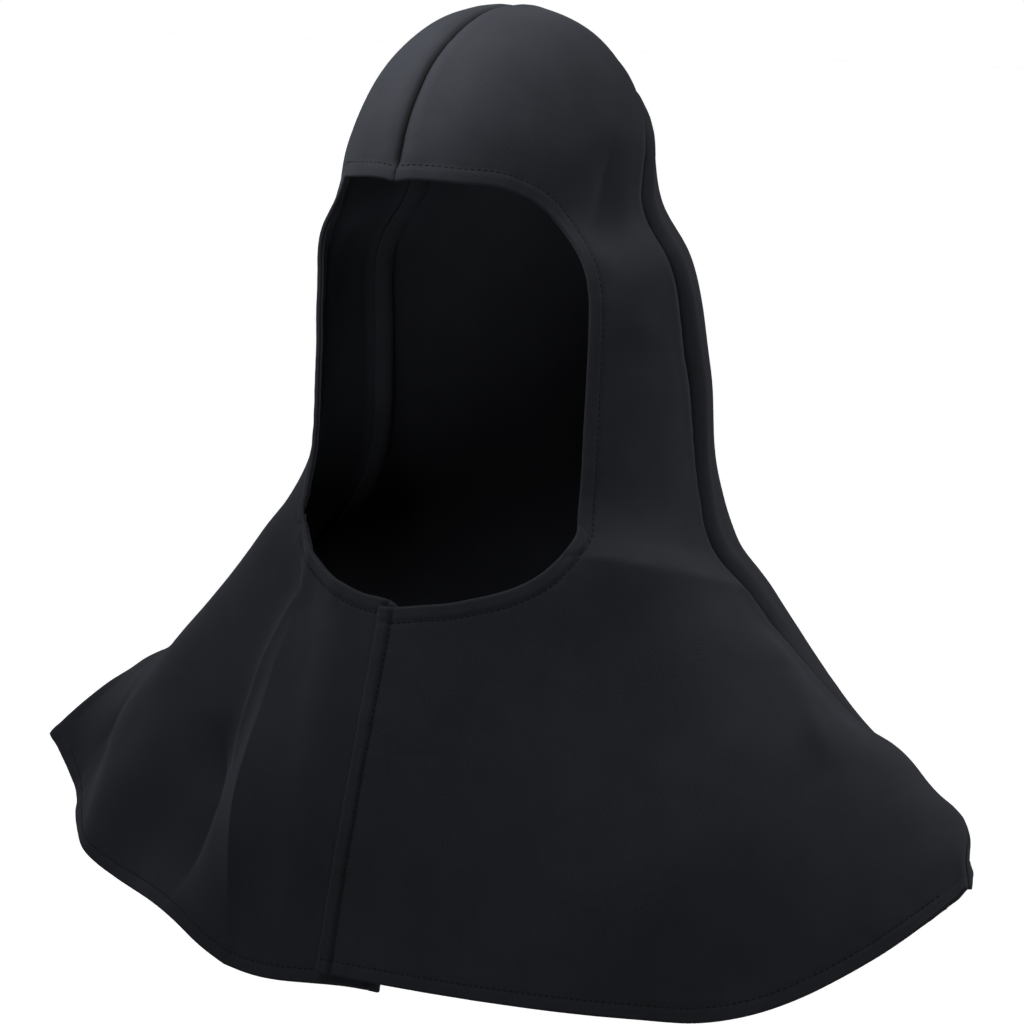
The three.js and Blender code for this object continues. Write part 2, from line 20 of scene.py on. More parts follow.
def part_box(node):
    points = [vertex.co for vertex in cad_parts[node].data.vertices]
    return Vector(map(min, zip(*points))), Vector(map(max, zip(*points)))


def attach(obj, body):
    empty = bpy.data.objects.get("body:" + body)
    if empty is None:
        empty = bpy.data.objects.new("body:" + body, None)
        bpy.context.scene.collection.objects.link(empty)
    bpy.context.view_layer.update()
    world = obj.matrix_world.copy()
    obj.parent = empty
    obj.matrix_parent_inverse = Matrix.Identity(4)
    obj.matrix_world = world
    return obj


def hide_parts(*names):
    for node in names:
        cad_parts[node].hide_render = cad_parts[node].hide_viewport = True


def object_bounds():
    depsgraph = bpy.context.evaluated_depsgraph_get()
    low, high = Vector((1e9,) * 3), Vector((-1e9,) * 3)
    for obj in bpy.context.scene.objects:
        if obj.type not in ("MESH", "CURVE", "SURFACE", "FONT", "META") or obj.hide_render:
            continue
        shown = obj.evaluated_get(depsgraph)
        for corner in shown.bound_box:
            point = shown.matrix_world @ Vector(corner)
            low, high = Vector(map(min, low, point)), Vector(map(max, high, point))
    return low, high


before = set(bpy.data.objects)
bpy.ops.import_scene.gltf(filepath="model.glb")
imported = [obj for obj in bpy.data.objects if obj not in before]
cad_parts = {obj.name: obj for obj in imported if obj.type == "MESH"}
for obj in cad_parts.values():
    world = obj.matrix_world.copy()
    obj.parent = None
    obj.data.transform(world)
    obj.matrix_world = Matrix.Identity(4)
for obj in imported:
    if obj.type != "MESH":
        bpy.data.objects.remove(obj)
CAD_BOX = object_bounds()
BODY = "root"
LOG = logging.getLogger("shroud")

MM = 0.001
WALL = 1.5 * MM  # thickness of the frame's panels
WALL_SLACK = 0.02 * MM
MERGE = 0.001 * MM
CLOTH = 1.05 * MM  # thickness of the sewn cloth
FOLD = 1.15 * MM  # outer radius of a turned edge
FOLD_STEPS = 4  # rows of cells round a turned edge
SHADE_REACH = 1.7 * MM  # of the painted shade along a seam or a line of stitches
STEP_WIDTH = 2.4 * MM  # of the step down from a turned layer to the single cloth
GROOVE_REACH = 1.1 * MM  # of the groove along a line of stitches
WEAR_REACH = 2 * MM  # of the wear along an edge
GATHER_PITCH = 2.0  # cells of the noise to one pucker
GATHER_PLACE = (3.7, 1.3)  # where the puckers are read in the noise
GATHER_HEIGHT = 1.6  # brings the noise to a height of about 1
FOLD_REACH = 4 * MM  # the cloth gives way to the fold within this distance of the edge
TIP_REACH = 9 * MM  # of a tip of the hem
EVEN_ROUNDS = 6  # rounds of evening the directions out of the cloth
FIT_ROUNDS = 3  # rounds that bring the smooth cloth back onto the frame's points
INNER_EDGES = 4  # of the cells that meet at a point inside the cloth
UNWRAP_ROUNDS = 30  # rounds of laying a panel flat

Points = np.ndarray


class Edge(Enum):
    """The sewn edges of a panel."""

    CROWN = "crown seam"
    FACE = "face opening"
    NECKLINE = "neckline"
    FRONT = "centre front"
    HEM = "cape hem"
    SIDE = "side seam"
    ARCH = "rounded top of the back"
    RIGHT_SIDE = "right side seam"
    LEFT_SIDE = "left side seam"


class Slot(Enum):
    """Material slots of the record."""

    CLOTH = "cloth"
    TAPE = "tape"


# Shader maths


class Signal:
    """A number in a node tree, so that shader maths reads as Python."""

    def __init__(self, shader: Shader, socket: bpy.types.NodeSocket) -> None:
        """Wraps an output socket.

        Args:
            shader: the material's nodes.
            socket: the output that carries the number.
        """
        self.shader = shader
        self.socket = socket

    def maths(self, operation: str, *others: Signal | float, swapped: bool = False) -> Signal:
        """Adds one Math node.

        Args:
            operation: the node's operation.
            others: what stands beside this number.
            swapped: whether this number comes second.

        Returns:
            The node's result.
        """
        terms = [self, *others]
        if swapped:
            terms.reverse()
        sockets = dict(enumerate(terms))
        return self.shader.signal("ShaderNodeMath", {"operation": operation}, sockets, "Value")

    def __add__(self, other: Signal | float) -> Signal:
        """Sum."""
        return self.maths("ADD", other)

    __radd__ = __add__

    def __sub__(self, other: Signal | float) -> Signal:
        """Difference."""
        return self.maths("SUBTRACT", other)

    def __rsub__(self, other: float) -> Signal:
        """Difference from a plain number."""
        return self.maths("SUBTRACT", other, swapped=True)

    def __mul__(self, other: Signal | float) -> Signal:
        """Product."""
        return self.maths("MULTIPLY", other)

    __rmul__ = __mul__

    def __truediv__(self, other: Signal | float) -> Signal:
        """Quotient."""
        return self.maths("DIVIDE", other)

    def wave(self) -> Signal:
        """A wave from 0 to 1 that repeats with each whole number."""
        return (self * (2 * math.pi)).maths("SINE") * 0.5 + 0.5

    def limited(self) -> Signal:
        """The number held between 0 and 1."""
        return self.maths("MINIMUM", 1.0).maths("MAXIMUM", 0.0)


class Shader:
    """The nodes of one material."""

    def __init__(self, name: str) -> None:
        """Starts a material with an empty surface.

        Args:
            name: the material's name.
        """
        self.material = bpy.data.materials.new(name)
        self.material.use_nodes = True
        self.tree = self.material.node_tree
        self.tree.nodes.clear()

    def node(
        self,
        kind: str,
        settings: dict[str, Any] | None = None,
        sockets: dict[str | int, Any] | None = None,
    ) -> bpy.types.Node:
        """Adds any node.

        Args:
            kind: the node's type.
            settings: its own settings, set first.
            sockets: values or links of its inputs, by name or number.

        Returns:
            The node.
        """
        made = self.tree.nodes.new(kind)
        for name, value in (settings or {}).items():
            setattr(made, name, value)
        for name, value in (sockets or {}).items():
            source = value.socket if isinstance(value, Signal) else value
            if isinstance(source, bpy.types.NodeSocket):
                self.tree.links.new(source, made.inputs[name])
            else:
                made.inputs[name].default_value = source
        return made

    def signal(
        self,
        kind: str,
        settings: dict[str, Any] | None = None,
        sockets: dict[str | int, Any] | None = None,
        output: str = "Fac",
    ) -> Signal:
        """Adds a node and wraps one of its outputs."""
        return Signal(self, self.node(kind, settings, sockets).outputs[output])

    def attribute(self, name: str, output: str) -> Signal:
        """An attribute of the piece's own mesh."""
        return self.signal("ShaderNodeAttribute", {"attribute_name": name}, None, output)

    def place(self) -> Signal:
        """The place on the object, in metres."""
        return self.signal("ShaderNodeTexCoord", None, None, "Object")

    def parts(self, vector: Signal) -> list[Signal]:
        """The three numbers of a vector."""
        split = self.node("ShaderNodeSeparateXYZ", None, {"Vector": vector})
        return [Signal(self, socket) for socket in split.outputs]

    def noise(self, vector: Signal, scale: float, detail: float = 2.0) -> Signal:
        """Soft noise around one half."""
        sockets = {"Vector": vector, "Scale": scale, "Detail": detail}
        return self.signal("ShaderNodeTexNoise", None, sockets, "Fac")

    def blend(
        self,
        share: Signal,
        first: Signal | tuple[float, ...],
        second: tuple[float, ...],
    ) -> Signal:
        """Mixes two colours.

        Args:
            share: how much of the second there is.
            first: red, green and blue, or a mixed colour.
            second: red, green and blue.

        Returns:
            The mixed colour.
        """
        below = first if isinstance(first, Signal) else (*first, 1.0)
        sockets = {0: share, 6: below, 7: (*second, 1.0)}
        made = self.node("ShaderNodeMix", {"data_type": "RGBA"}, sockets)
        return Signal(self, made.outputs[2])

    def bump(self, height: Signal, strength: float, distance: float) -> Signal:
        """Turns a height into a normal."""
        sockets = {"Height": height, "Strength": strength, "Distance": distance}
        return self.signal("ShaderNodeBump", None, sockets, "Normal")

    def finish(self, sockets: dict[str | int, Any]) -> bpy.types.Material:
        """Closes the material with a Principled surface.

        Args:
            sockets: what feeds the surface.

        Returns:
            The material.
        """
        surface = self.node("ShaderNodeBsdfPrincipled", None, sockets)
        self.node("ShaderNodeOutputMaterial", None, {"Surface": surface.outputs["BSDF"]})
        return self.material


# Finishes


@dataclass(frozen=True)
class TwillFinish:
    """Matte black cotton twill, a little faded on its raised ribs and folds, with painted shade darkening
    its seams and stitch grooves.
    """

    name: str = "black_cotton_twill"
    colour: tuple[float, float, float] = (0.0125, 0.0134, 0.0172)
    faded: tuple[float, float, float] = (0.0238, 0.0255, 0.0328)
    rib: float = 0.95 * MM  # from one diagonal rib to the next
    slope: float = 1.6  # steepness of the ribs
    float_length: float = 1.4 * MM  # length of one yarn on a rib
    relief: float = 0.07 * MM
    slubs: float = 420.0  # uneven places of the yarn to a metre
    patches: float = 9.0  # faded patches to a metre
    specks: float = 55.0  # specks of dust to a metre
    painted_seam_shade: tuple[float, float, float] = (0.0015, 0.0015, 0.002)  # painted shade in the seams and stitch grooves
    sheen: float = 0.06
    sheen_tint: tuple[float, float, float] = (0.62, 0.68, 0.86)

    def make(self) -> bpy.types.Material:
        """Builds the material.

        Returns:
            The twill.
        """
        shader = Shader(self.name)
        weave = shader.attribute("weave", "Vector")
        across, down, _ = shader.parts(weave)
        wear = shader.attribute("wear", "Fac")
        place = shader.place()
        slub = shader.noise(weave, self.slubs)
        rib = ((across * self.slope + down) / (self.rib * math.hypot(self.slope, 1)) + slub * 0.5).wave()
        yarn = ((across - down * self.slope) / self.float_length + slub * 0.4).wave()
        height = rib * (0.72 + yarn * 0.28)
        patch = shader.noise(place, self.patches, 3.0)
        dust = shader.noise(place, self.specks, 4.0)
        fading = (height * 0.2 + (patch - 0.5) * 1.2 + (dust - 0.5) * 0.6 + wear * 0.2 + 0.3).limited()
        # painted shade: the colour darkens along seams and stitch grooves to stand in for the shadow in
        # the groove
        shade = (shader.attribute("shade", "Fac") - height * 0.1).limited()
        return shader.finish({
            "Base Color": shader.blend(shade, shader.blend(fading, self.colour, self.faded), self.painted_seam_shade),
            "Roughness": (0.9 - height * 0.1 - (patch - 0.5) * 0.16).limited(),
            "Specular IOR Level": 0.2,
            "Sheen Weight": self.sheen,
            "Sheen Roughness": 0.5,
            "Sheen Tint": (*self.sheen_tint, 1.0),
            "Normal": shader.bump(height + dust * 0.25, 0.55, self.relief),
        })


@dataclass(frozen=True)
class ThreadFinish:
    """Twisted black sewing thread."""

    name: str = "black_thread"
    colour: tuple[float, float, float] = (0.007, 0.0072, 0.009)
    worn: tuple[float, float, float] = (0.014, 0.0145, 0.018)
    ply: float = 0.55 * MM  # from one turn of the thread to the next
    fibres: float = 900.0  # to a metre

    def make(self) -> bpy.types.Material:
        """Builds the material.

        Returns:
            The thread.
        """
        shader = Shader(self.name)
        along, across, _ = shader.parts(shader.attribute("weave", "Vector"))
        ply = (along / self.ply + across / self.ply).wave()
        fuzz = shader.noise(shader.place(), self.fibres)
        return shader.finish({
            "Base Color": shader.blend((ply * 0.6 + fuzz * 0.5).limited(), self.colour, self.worn),
            "Roughness": (0.7 + fuzz * 0.3).limited(),
            "Specular IOR Level": 0.2,
            "Normal": shader.bump(ply, 0.4, 0.06 * MM),
        })


@dataclass(frozen=True)
class TapeFinish:
    """Black hook-and-loop tape, a dense pile on a woven ground."""

    name: str = "black_fastening_tape"
    colour: tuple[float, float, float] = (0.006, 0.006, 0.007)
    tips: tuple[float, float, float] = (0.022, 0.022, 0.025)
    tufts: float = 1400.0  # to a metre
    lint: float = 260.0  # specks to a metre

    def make(self) -> bpy.types.Material:
        """Builds the material.

        Returns:
            The tape.
        """
        shader = Shader(self.name)
        place = shader.place()
        sockets = {"Vector": place, "Scale": self.tufts}
        pile = 1.0 - shader.signal("ShaderNodeTexVoronoi", None, sockets, "Distance").limited()
        lint = shader.noise(place, self.lint)
        return shader.finish({
            "Base Color": shader.blend((pile * 0.7 + lint * 0.3).limited(), self.colour, self.tips),
            "Roughness": (0.85 + lint * 0.15).limited(),
            "Specular IOR Level": 0.2,
            "Normal": shader.bump(pile, 0.8, 0.4 * MM),
        })


@dataclass(frozen=True)
class FloorFinish:
    """Plain pale studio floor."""

    name: str = "pale_floor"
    colour: tuple[float, float, float] = (0.86, 0.86, 0.86)
    scuffed: tuple[float, float, float] = (0.9, 0.9, 0.9)
    glow: float = 0.5  # light of its own, which keeps it as pale as the surround

    def make(self) -> bpy.types.Material:
        """Builds the material.

        Returns:
            The floor's finish.
        """
        shader = Shader(self.name)
        cloud = shader.noise(shader.place(), 3.0)
        return shader.finish({
            "Base Color": shader.blend(cloud, self.colour, self.scuffed),
            "Roughness": 0.9,
            "Specular IOR Level": 0.1,
            "Emission Color": (1.0, 1.0, 1.0, 1.0),
            "Emission Strength": self.glow,
        })


# Mesh helpers


def select_only(piece: bpy.types.Object) -> None:
    """Selects one object and makes it active.

    Args:
        piece: the object.
    """
    bpy.ops.object.select_all(action="DESELECT")
    piece.select_set(True)
    bpy.context.view_layer.objects.active = piece


def put(name: str, data: bpy.types.ID) -> bpy.types.Object:
    """Adds an object to the scene."""
    made = bpy.data.objects.new(name, data)
    bpy.context.scene.collection.objects.link(made)
    return made


def add_modifier(piece: bpy.types.Object, kind: str, **settings: Any) -> bpy.types.Modifier:
    """Adds a modifier.

    Args:
        piece: the object.
        kind: the modifier's type.
        settings: its settings.

    Returns:
        The modifier.
    """
    modifier = piece.modifiers.new(kind.lower(), kind)
    for name, value in settings.items():
        setattr(modifier, name, value)
    return modifier


def apply_modifier(piece: bpy.types.Object, modifier: bpy.types.Modifier) -> None:
    """Makes a modifier's result the object's own mesh."""
    select_only(piece)
    bpy.ops.object.modifier_apply(modifier=modifier.name)


def rows_of(items: bpy.types.bpy_prop_collection, name: str) -> Points:
    """Reads a vector of each of a mesh's points.

    Args:
        items: what holds the vectors.
        name: the vector's name there.

    Returns:
        One row for each point.
    """
    flat = np.zeros(len(items) * 3, np.float32)
    items.foreach_get(name, flat)
    return flat.reshape(-1, 3).astype(float)


def points_of(mesh: bpy.types.Mesh) -> Points:
    """Places of a mesh's points."""
    return rows_of(mesh.vertices, "co")


def normals_of(mesh: bpy.types.Mesh) -> Points:
    """Normals at a mesh's points."""
    return rows_of(mesh.vertex_normals, "vector")


def move_points(mesh: bpy.types.Mesh, points: Points) -> None:
    """Moves a mesh's points."""
    mesh.vertices.foreach_set("co", points.astype(np.float32).ravel())
    mesh.update()


def keep_weave(mesh: bpy.types.Mesh, weave: Points) -> None:
    """Keeps the place of each point on the flat cloth."""
    kept = mesh.attributes.new("weave", "FLOAT_VECTOR", "POINT")
    kept.data.foreach_set("vector", weave.astype(np.float32).ravel())


def unit(vectors: Points) -> Points:
    """Vectors brought to length 1."""
    return vectors / np.maximum(np.linalg.norm(vectors, axis=-1, keepdims=True), 1e-12)


def smooth(values: Points | float) -> Points | float:
    """Soft step from 0 to 1."""
    held = np.clip(values, 0.0, 1.0)
    return held * held * (3 - 2 * held)


def hump(values: Points, middle: float, reach: float) -> Points:
    """Soft hump of height 1."""
    return np.exp(-(((values - middle) / reach) ** 2))


def new_piece(
    name: str,
    points: Points,
    faces: Iterable[Iterable[int]],
    weave: Points,
    wear: Points,
    shade: Points | None = None,
) -> bpy.types.Object:
    """Makes an object with the attributes that the finishes read.

    Args:
        name: the piece's name.
        points: its points.
        faces: its faces.
        weave: the place of each point on the flat cloth.
        wear: how worn each point is.
        shade: how much painted shade each point gets in a seam or stitch groove, if any does.

    Returns:
        The object.
    """
    mesh = bpy.data.meshes.new(name)
    mesh.from_pydata(points.tolist(), [], [list(face) for face in faces])
    keep_weave(mesh, weave)
    painted_shade = np.zeros(len(points)) if shade is None else shade
    for label, values in (("wear", wear), ("shade", painted_shade)):
        mesh.attributes.new(label, "FLOAT", "POINT").data.foreach_set("value", values.astype(np.float32))
    mesh.update()
    return put(name, mesh)


def dress(
    piece: bpy.types.Object,
    material: bpy.types.Material,
    nodes: Iterable[str] = (),
) -> bpy.types.Object:
    """Gives a piece its finish and its place in the frame.

    Args:
        piece: the finished object.
        material: its finish.
        nodes: the nodes that it stands for.

    Returns:
        The same object.
    """
    piece.data.materials.clear()
    piece.data.materials.append(material)
    piece.data.polygons.foreach_set("use_smooth", np.ones(len(piece.data.polygons), bool))
    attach(piece, BODY)
    if nodes:
        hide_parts(*nodes)
    LOG.info("%s: %d faces", piece.name, len(piece.data.polygons))
    return piece


# The panels as cells


def outer_cells(node: str) -> bmesh.types.BMesh:
    """The outer face of one of the frame's panels, as four-sided cells.

    Args:
        node: the panel's node.

    Returns:
        The cells.
    """
    cells = bmesh.new()
    cells.from_mesh(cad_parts[node].data)
    bmesh.ops.remove_doubles(cells, verts=cells.verts, dist=MERGE)
    rim = [
        face for face in cells.faces
        if any(abs(edge.calc_length() - WALL) < WALL_SLACK for edge in face.edges)
    ]
    bmesh.ops.delete(cells, geom=rim, context="FACES")
    outer = max(layers_of(cells), key=lambda layer: sum(face.calc_area() for face in layer))
    others = [face for face in cells.faces if face not in outer]
    bmesh.ops.delete(cells, geom=others, context="FACES")
    bmesh.ops.dissolve_edges(cells, edges=diagonals_of(cells), use_verts=False)
    return cells


def layers_of(cells: bmesh.types.BMesh) -> list[set[bmesh.types.BMFace]]:
    """The separate layers of a mesh.

    Args:
        cells: the mesh.

    Returns:
        The faces of each layer.
    """
    layers: list[set[bmesh.types.BMFace]] = []
    left = set(cells.faces)
    while left:
        layer = {left.pop()}
        front = list(layer)
        while front:
            face = front.pop()
            beside = {other for edge in face.edges for other in edge.link_faces} & left
            left -= beside
            layer |= beside
            front.extend(beside)
        layers.append(layer)
    return layers


def diagonals_of(cells: bmesh.types.BMesh) -> list[bmesh.types.BMEdge]:
    """The edges that halve four-sided cells.

    Each triangle has one of them, and four other edges meet at each point inside the cloth.
    What these two counts leave open is settled step by step.

    Args:
        cells: cells halved into triangles.

    Returns:
        The diagonals.
    """
    known = {edge: False for edge in cells.edges if edge.is_boundary}
    counts = [(list(face.edges), 1) for face in cells.faces]
    for point in cells.verts:
        if not point.is_boundary:
            counts.append((list(point.link_edges), len(point.link_edges) - INNER_EDGES))
    settled = -1
    while settled < len(known):
        settled = len(known)
        for edges, wanted in counts:
            unknown = [edge for edge in edges if edge not in known]
            missing = wanted - sum(known.get(edge, False) for edge in edges)
            if unknown and missing in (0, len(unknown)):
                known.update((edge, missing > 0) for edge in unknown)
    return [edge for edge, halves in known.items() if halves]


def open_rim(mesh: bpy.types.Mesh) -> list[int]:
    """Points round the open edge of a sheet.

    Args:
        mesh: the sheet.

    Returns:
        The points in order.
    """
    uses = Counter(key for face in mesh.polygons for key in face.edge_keys)
    beside: dict[int, list[int]] = defaultdict(list)
    for (first, second), count in uses.items():
        if count == 1:
            beside[first].append(second)
            beside[second].append(first)
    start = min(beside)
    walk = [start, beside[start][0]]
    while True:
        one, other = beside[walk[-1]]
        ahead = other if one == walk[-2] else one
        if ahead == start:
            return walk
        walk.append(ahead)


class EdgeLine:
    """The line of one edge, for distances from it."""

    def __init__(self, points: Points) -> None:
        """Keeps the line.

        Args:
            points: its points in order.
        """
        self.points = points
        steps = np.linalg.norm(np.diff(points, axis=0), axis=1)
        self.run = np.concatenate([[0.0], np.cumsum(steps)])
        self.tree = KDTree(len(points))
        for index, point in enumerate(points):
            self.tree.insert(point, index)
        self.tree.balance()

    def measure(self, places: Points) -> tuple[Points, Points]:
        """Measures places against the line.

        Args:
            places: one row each.

        Returns:
            The distance from the line, and the length of line before the nearest point.
        """
        nearest = np.array([self.tree.find(place)[1] for place in places])
        last = len(self.points) - 1
        distance = np.full(len(places), np.inf)
        along = np.zeros(len(places))
        for shift in (-1, 0):
            first = np.clip(nearest + shift, 0, last - 1)
            start = self.points[first]
            step = self.points[first + 1] - start
            share = np.einsum("ij,ij->i", places - start, step) / np.einsum("ij,ij->i", step, step)
            share = np.clip(share, 0.0, 1.0)
            away = np.linalg.norm(places - start - share[:, None] * step, axis=1)
            closer = away < distance
            distance = np.where(closer, away, distance)
            reached = self.run[first] + share * (self.run[first + 1] - self.run[first])
            along = np.where(closer, reached, along)
        return distance, along

    def read(self, rows: Points, along: Points | float) -> Points:
        """Values at lengths along the line."""
        return np.stack([np.interp(along, self.run, rows[:, axis]) for axis in range(3)], axis=-1)

    def evened(self, rows: Points, reach: float) -> Points:
        """Directions evened along the line."""
        near = np.exp(-(((self.run[:, None] - self.run) / reach) ** 2))
        return unit(near @ rows)


# Sewing


@dataclass(frozen=True)
class Sewing:
    """How sewing shapes the cloth beside an edge."""

    turned: float = 0.0  # width of the turned layer
    proud: float = 0.0  # lift of the face over the turned layer
    groove: float = 0.0  # depth of the line of stitches
    dip: float = 0.0  # fall of the cloth into a seam
    dip_reach: float = 3 * MM
    swell: float = 0.0  # rise of the cloth beside a seam
    swell_place: float = 7 * MM
    swell_reach: float = 4 * MM
    pucker: float = 0.0  # height of the puckers along the sewing
    pucker_length: float = 13 * MM
    pucker_reach: float = 8 * MM
    shade: float = 0.0  # painted shade in the seam or along the line of stitches

    def lift(self, distance: Points, along: Points) -> Points:
        """How far the cloth is lifted.

        Args:
            distance: from the edge.
            along: length of edge before the nearest point.

        Returns:
            The lift at each place.
        """
        step = 1.0 - smooth((distance - self.turned + STEP_WIDTH / 2) / STEP_WIDTH)
        lifted = self.proud * step if self.turned else np.zeros_like(distance)
        lifted -= self.groove * hump(distance, self.turned, GROOVE_REACH)
        lifted -= self.dip * np.exp(-distance / self.dip_reach)
        lifted += self.swell * hump(distance, self.swell_place, self.swell_reach)
        if self.pucker:
            lifted += self.pucker * self.gathers(along) * hump(distance, self.turned, self.pucker_reach)
        return lifted

    def gathers(self, along: Points) -> Points:
        """Uneven waves along the sewing."""
        turns = along / self.pucker_length * GATHER_PITCH
        waves = [noise.noise(Vector((turn, *GATHER_PLACE))) for turn in turns]
        return np.array(waves) * GATHER_HEIGHT


FACE_HEM = Sewing(turned=7.5 * MM, proud=0.55 * MM, groove=0.5 * MM, pucker=0.22 * MM)
NECK_HEM = Sewing(turned=7.5 * MM, proud=0.45 * MM, groove=0.45 * MM, pucker=0.2 * MM)
CAPE_HEM = Sewing(
    turned=7 * MM,
    proud=0.2 * MM,
    groove=0.25 * MM,
    pucker=0.35 * MM,
    pucker_length=19 * MM,
)
FRONT_HEM = Sewing(turned=8 * MM, proud=0.7 * MM, groove=1.1 * MM, pucker=0.25 * MM, shade=0.5)
CROWN_SEAM = Sewing(
    dip=2.6 * MM,
    dip_reach=2.6 * MM,
    swell=0.4 * MM,
    swell_place=7 * MM,
    pucker=0.2 * MM,
    shade=1.0,
)
SIDE_SEAM = Sewing(
    dip=3.4 * MM,
    dip_reach=4 * MM,
    swell=0.6 * MM,
    swell_place=11 * MM,
    pucker=0.3 * MM,
    shade=1.0,
)
BACK_SEAM = Sewing(
    dip=2.6 * MM,
    dip_reach=3 * MM,
    swell=1.2 * MM,
    swell_place=8 * MM,
    pucker=0.3 * MM,
    shade=1.0,
)

FRONT_EDGES = (Edge.CROWN, Edge.FACE, Edge.NECKLINE, Edge.FRONT, Edge.HEM, Edge.SIDE)
BACK_EDGES = (Edge.ARCH, Edge.RIGHT_SIDE, Edge.HEM, Edge.LEFT_SIDE)
FRONT_FREE = ((Edge.FACE, Edge.NECKLINE), (Edge.FRONT,), (Edge.HEM,))
BACK_FREE = ((Edge.HEM,),)
CORNER_TIP = (0.3 * MM, 12 * MM)  # bare lengths of a front's hem, at the centre front and at the tip
TIP_TIP = (12 * MM, 12 * MM)  # bare lengths of the back's hem
SHOULDER_FLAT = -318 * MM  # the side seams lie flat below this height
SHOULDER_FADE = 30 * MM  # above that height a side seam takes its shape within this distance
CALM_SHOULDER = 0.1  # share of a side seam's shape that is left on the shoulder
FACE_HEM_ZONE = 7 * MM  # the crown seam lies flat within this distance of the face opening
CROWN_FADE = 4 * MM  # past that zone the crown seam takes its shape within this distance
CALM_CROWN = 0.3  # share of the crown seam's shape that is left at the face opening
CROWN_ENDS = (8 * MM, 9 * MM)  # lengths of the crown seam without a binding at its two ends
SIDE_ENDS = (9 * MM, 1 * MM)  # lengths of a side seam without a binding at its two ends
FRONT_ENDS = (9 * MM, 9 * MM)  # lengths of the centre front without a turned layer at its two ends
FRONT_SEWING = {
    Edge.CROWN: CROWN_SEAM,
    Edge.FACE: FACE_HEM,
    Edge.NECKLINE: NECK_HEM,
    Edge.FRONT: FRONT_HEM,
    Edge.HEM: CAPE_HEM,
    Edge.SIDE: SIDE_SEAM,
}
BACK_SEWING = {Edge.SIDE: BACK_SEAM, Edge.HEM: CAPE_HEM}
FRONT_PLAN = {"edges": FRONT_EDGES, "sewing": FRONT_SEWING, "levels": 3, "free": FRONT_FREE}
BACK_PLAN = {"edges": BACK_EDGES, "sewing": BACK_SEWING, "levels": 2, "free": BACK_FREE}


@dataclass(frozen=True)
class Drape:
    """Gentle unevenness of hanging cloth, longer down the cloth than across it."""

    depth: float
    width: float
    length: float
    seed: float

    def lift(self, points: Points) -> Points:
        """How far the cloth is lifted.

        Args:
            points: places on the cloth.

        Returns:
            The lift at each place.
        """
        scaled = points / (self.width, self.width, self.length) + self.seed
        return self.depth * np.array([noise.noise(Vector(place)) for place in scaled])


DRAPES = (
    Drape(depth=1.7 * MM, width=62 * MM, length=150 * MM, seed=4.3),
    Drape(depth=0.6 * MM, width=24 * MM, length=52 * MM, seed=9.1),
)


@dataclass(frozen=True)
class Crease:
    """A crease in the cloth: a ridge where its height is above zero, a valley where it is below."""

    name: str
    height: float
    reach: float  # how far it spreads to its two sides
    fade: float  # share of its length over which it comes and goes
    line: tuple[tuple[float, float, float], ...]  # in millimetres
    spacing: float = 2 * MM

    def lift(self, points: Points) -> Points:
        """How far the cloth is lifted.

        Args:
            points: places on the cloth.

        Returns:
            The lift at each place.
        """
        corners = EdgeLine(np.array(self.line) * MM)
        count = max(2, int(corners.run[-1] / self.spacing))
        line = EdgeLine(corners.read(corners.points, np.linspace(0.0, corners.run[-1], count)))
        distance, along = line.measure(points)
        share = along / line.run[-1]
        ends = smooth(share / self.fade) * smooth((1 - share) / self.fade)
        return self.height * ends * np.exp(-distance / self.reach)


CREASES = {
    "front_left": (
        Crease("collar bone shelf", 4.5 * MM, 11 * MM, 0.25, (
            (76, -74, -259), (112, -46, -269), (133, 12, -287), (150, 29, -308),
        )),
        Crease("shoulder crest", 6 * MM, 10 * MM, 0.3, (
            (146, 9, -301), (168, -1, -326), (190, -14, -344), (212, -26, -366),
        )),
        Crease("temple dent", -3.6 * MM, 9 * MM, 0.4, (
            (70, -2, -56), (71, -12, -87), (80, -36, -124),
        )),
        Crease("hem valley", -1.5 * MM, 9 * MM, 0.4, (
            (190, 4, -335), (222, -47, -390), (234, -71, -444),
        )),
        Crease("chest valley", -1.2 * MM, 8 * MM, 0.3, (
            (84, -66, -262), (89, -83, -331), (106, -116, -425),
        )),
        Crease("placket crease", -0.7 * MM, 3 * MM, 0.4, (
            (4, -113, -364), (46, -106, -361),
        )),
        Crease("dimple at the tip", 0.8 * MM, 6 * MM, 0.5, (
            (250, -50, -416), (268, -47, -432),
        )),
    ),
    "front_right": (
        Crease("long crest", 5 * MM, 9 * MM, 0.25, (
            (-64, -74, -262), (-79, -68, -305), (-90, -78, -333), (-98, -89, -369), (-99, -104, -410),
        )),
        Crease("long valley", -9 * MM, 14 * MM, 0.3, (
            (-122, -76, -362), (-117, -98, -406), (-130, -123, -466),
        )),
        Crease("fin", -2.5 * MM, 10 * MM, 0.4, (
            (-180, -50, -350), (-215, -46, -379), (-252, -41, -423),
        )),
    ),
    "back_panel": (),
}


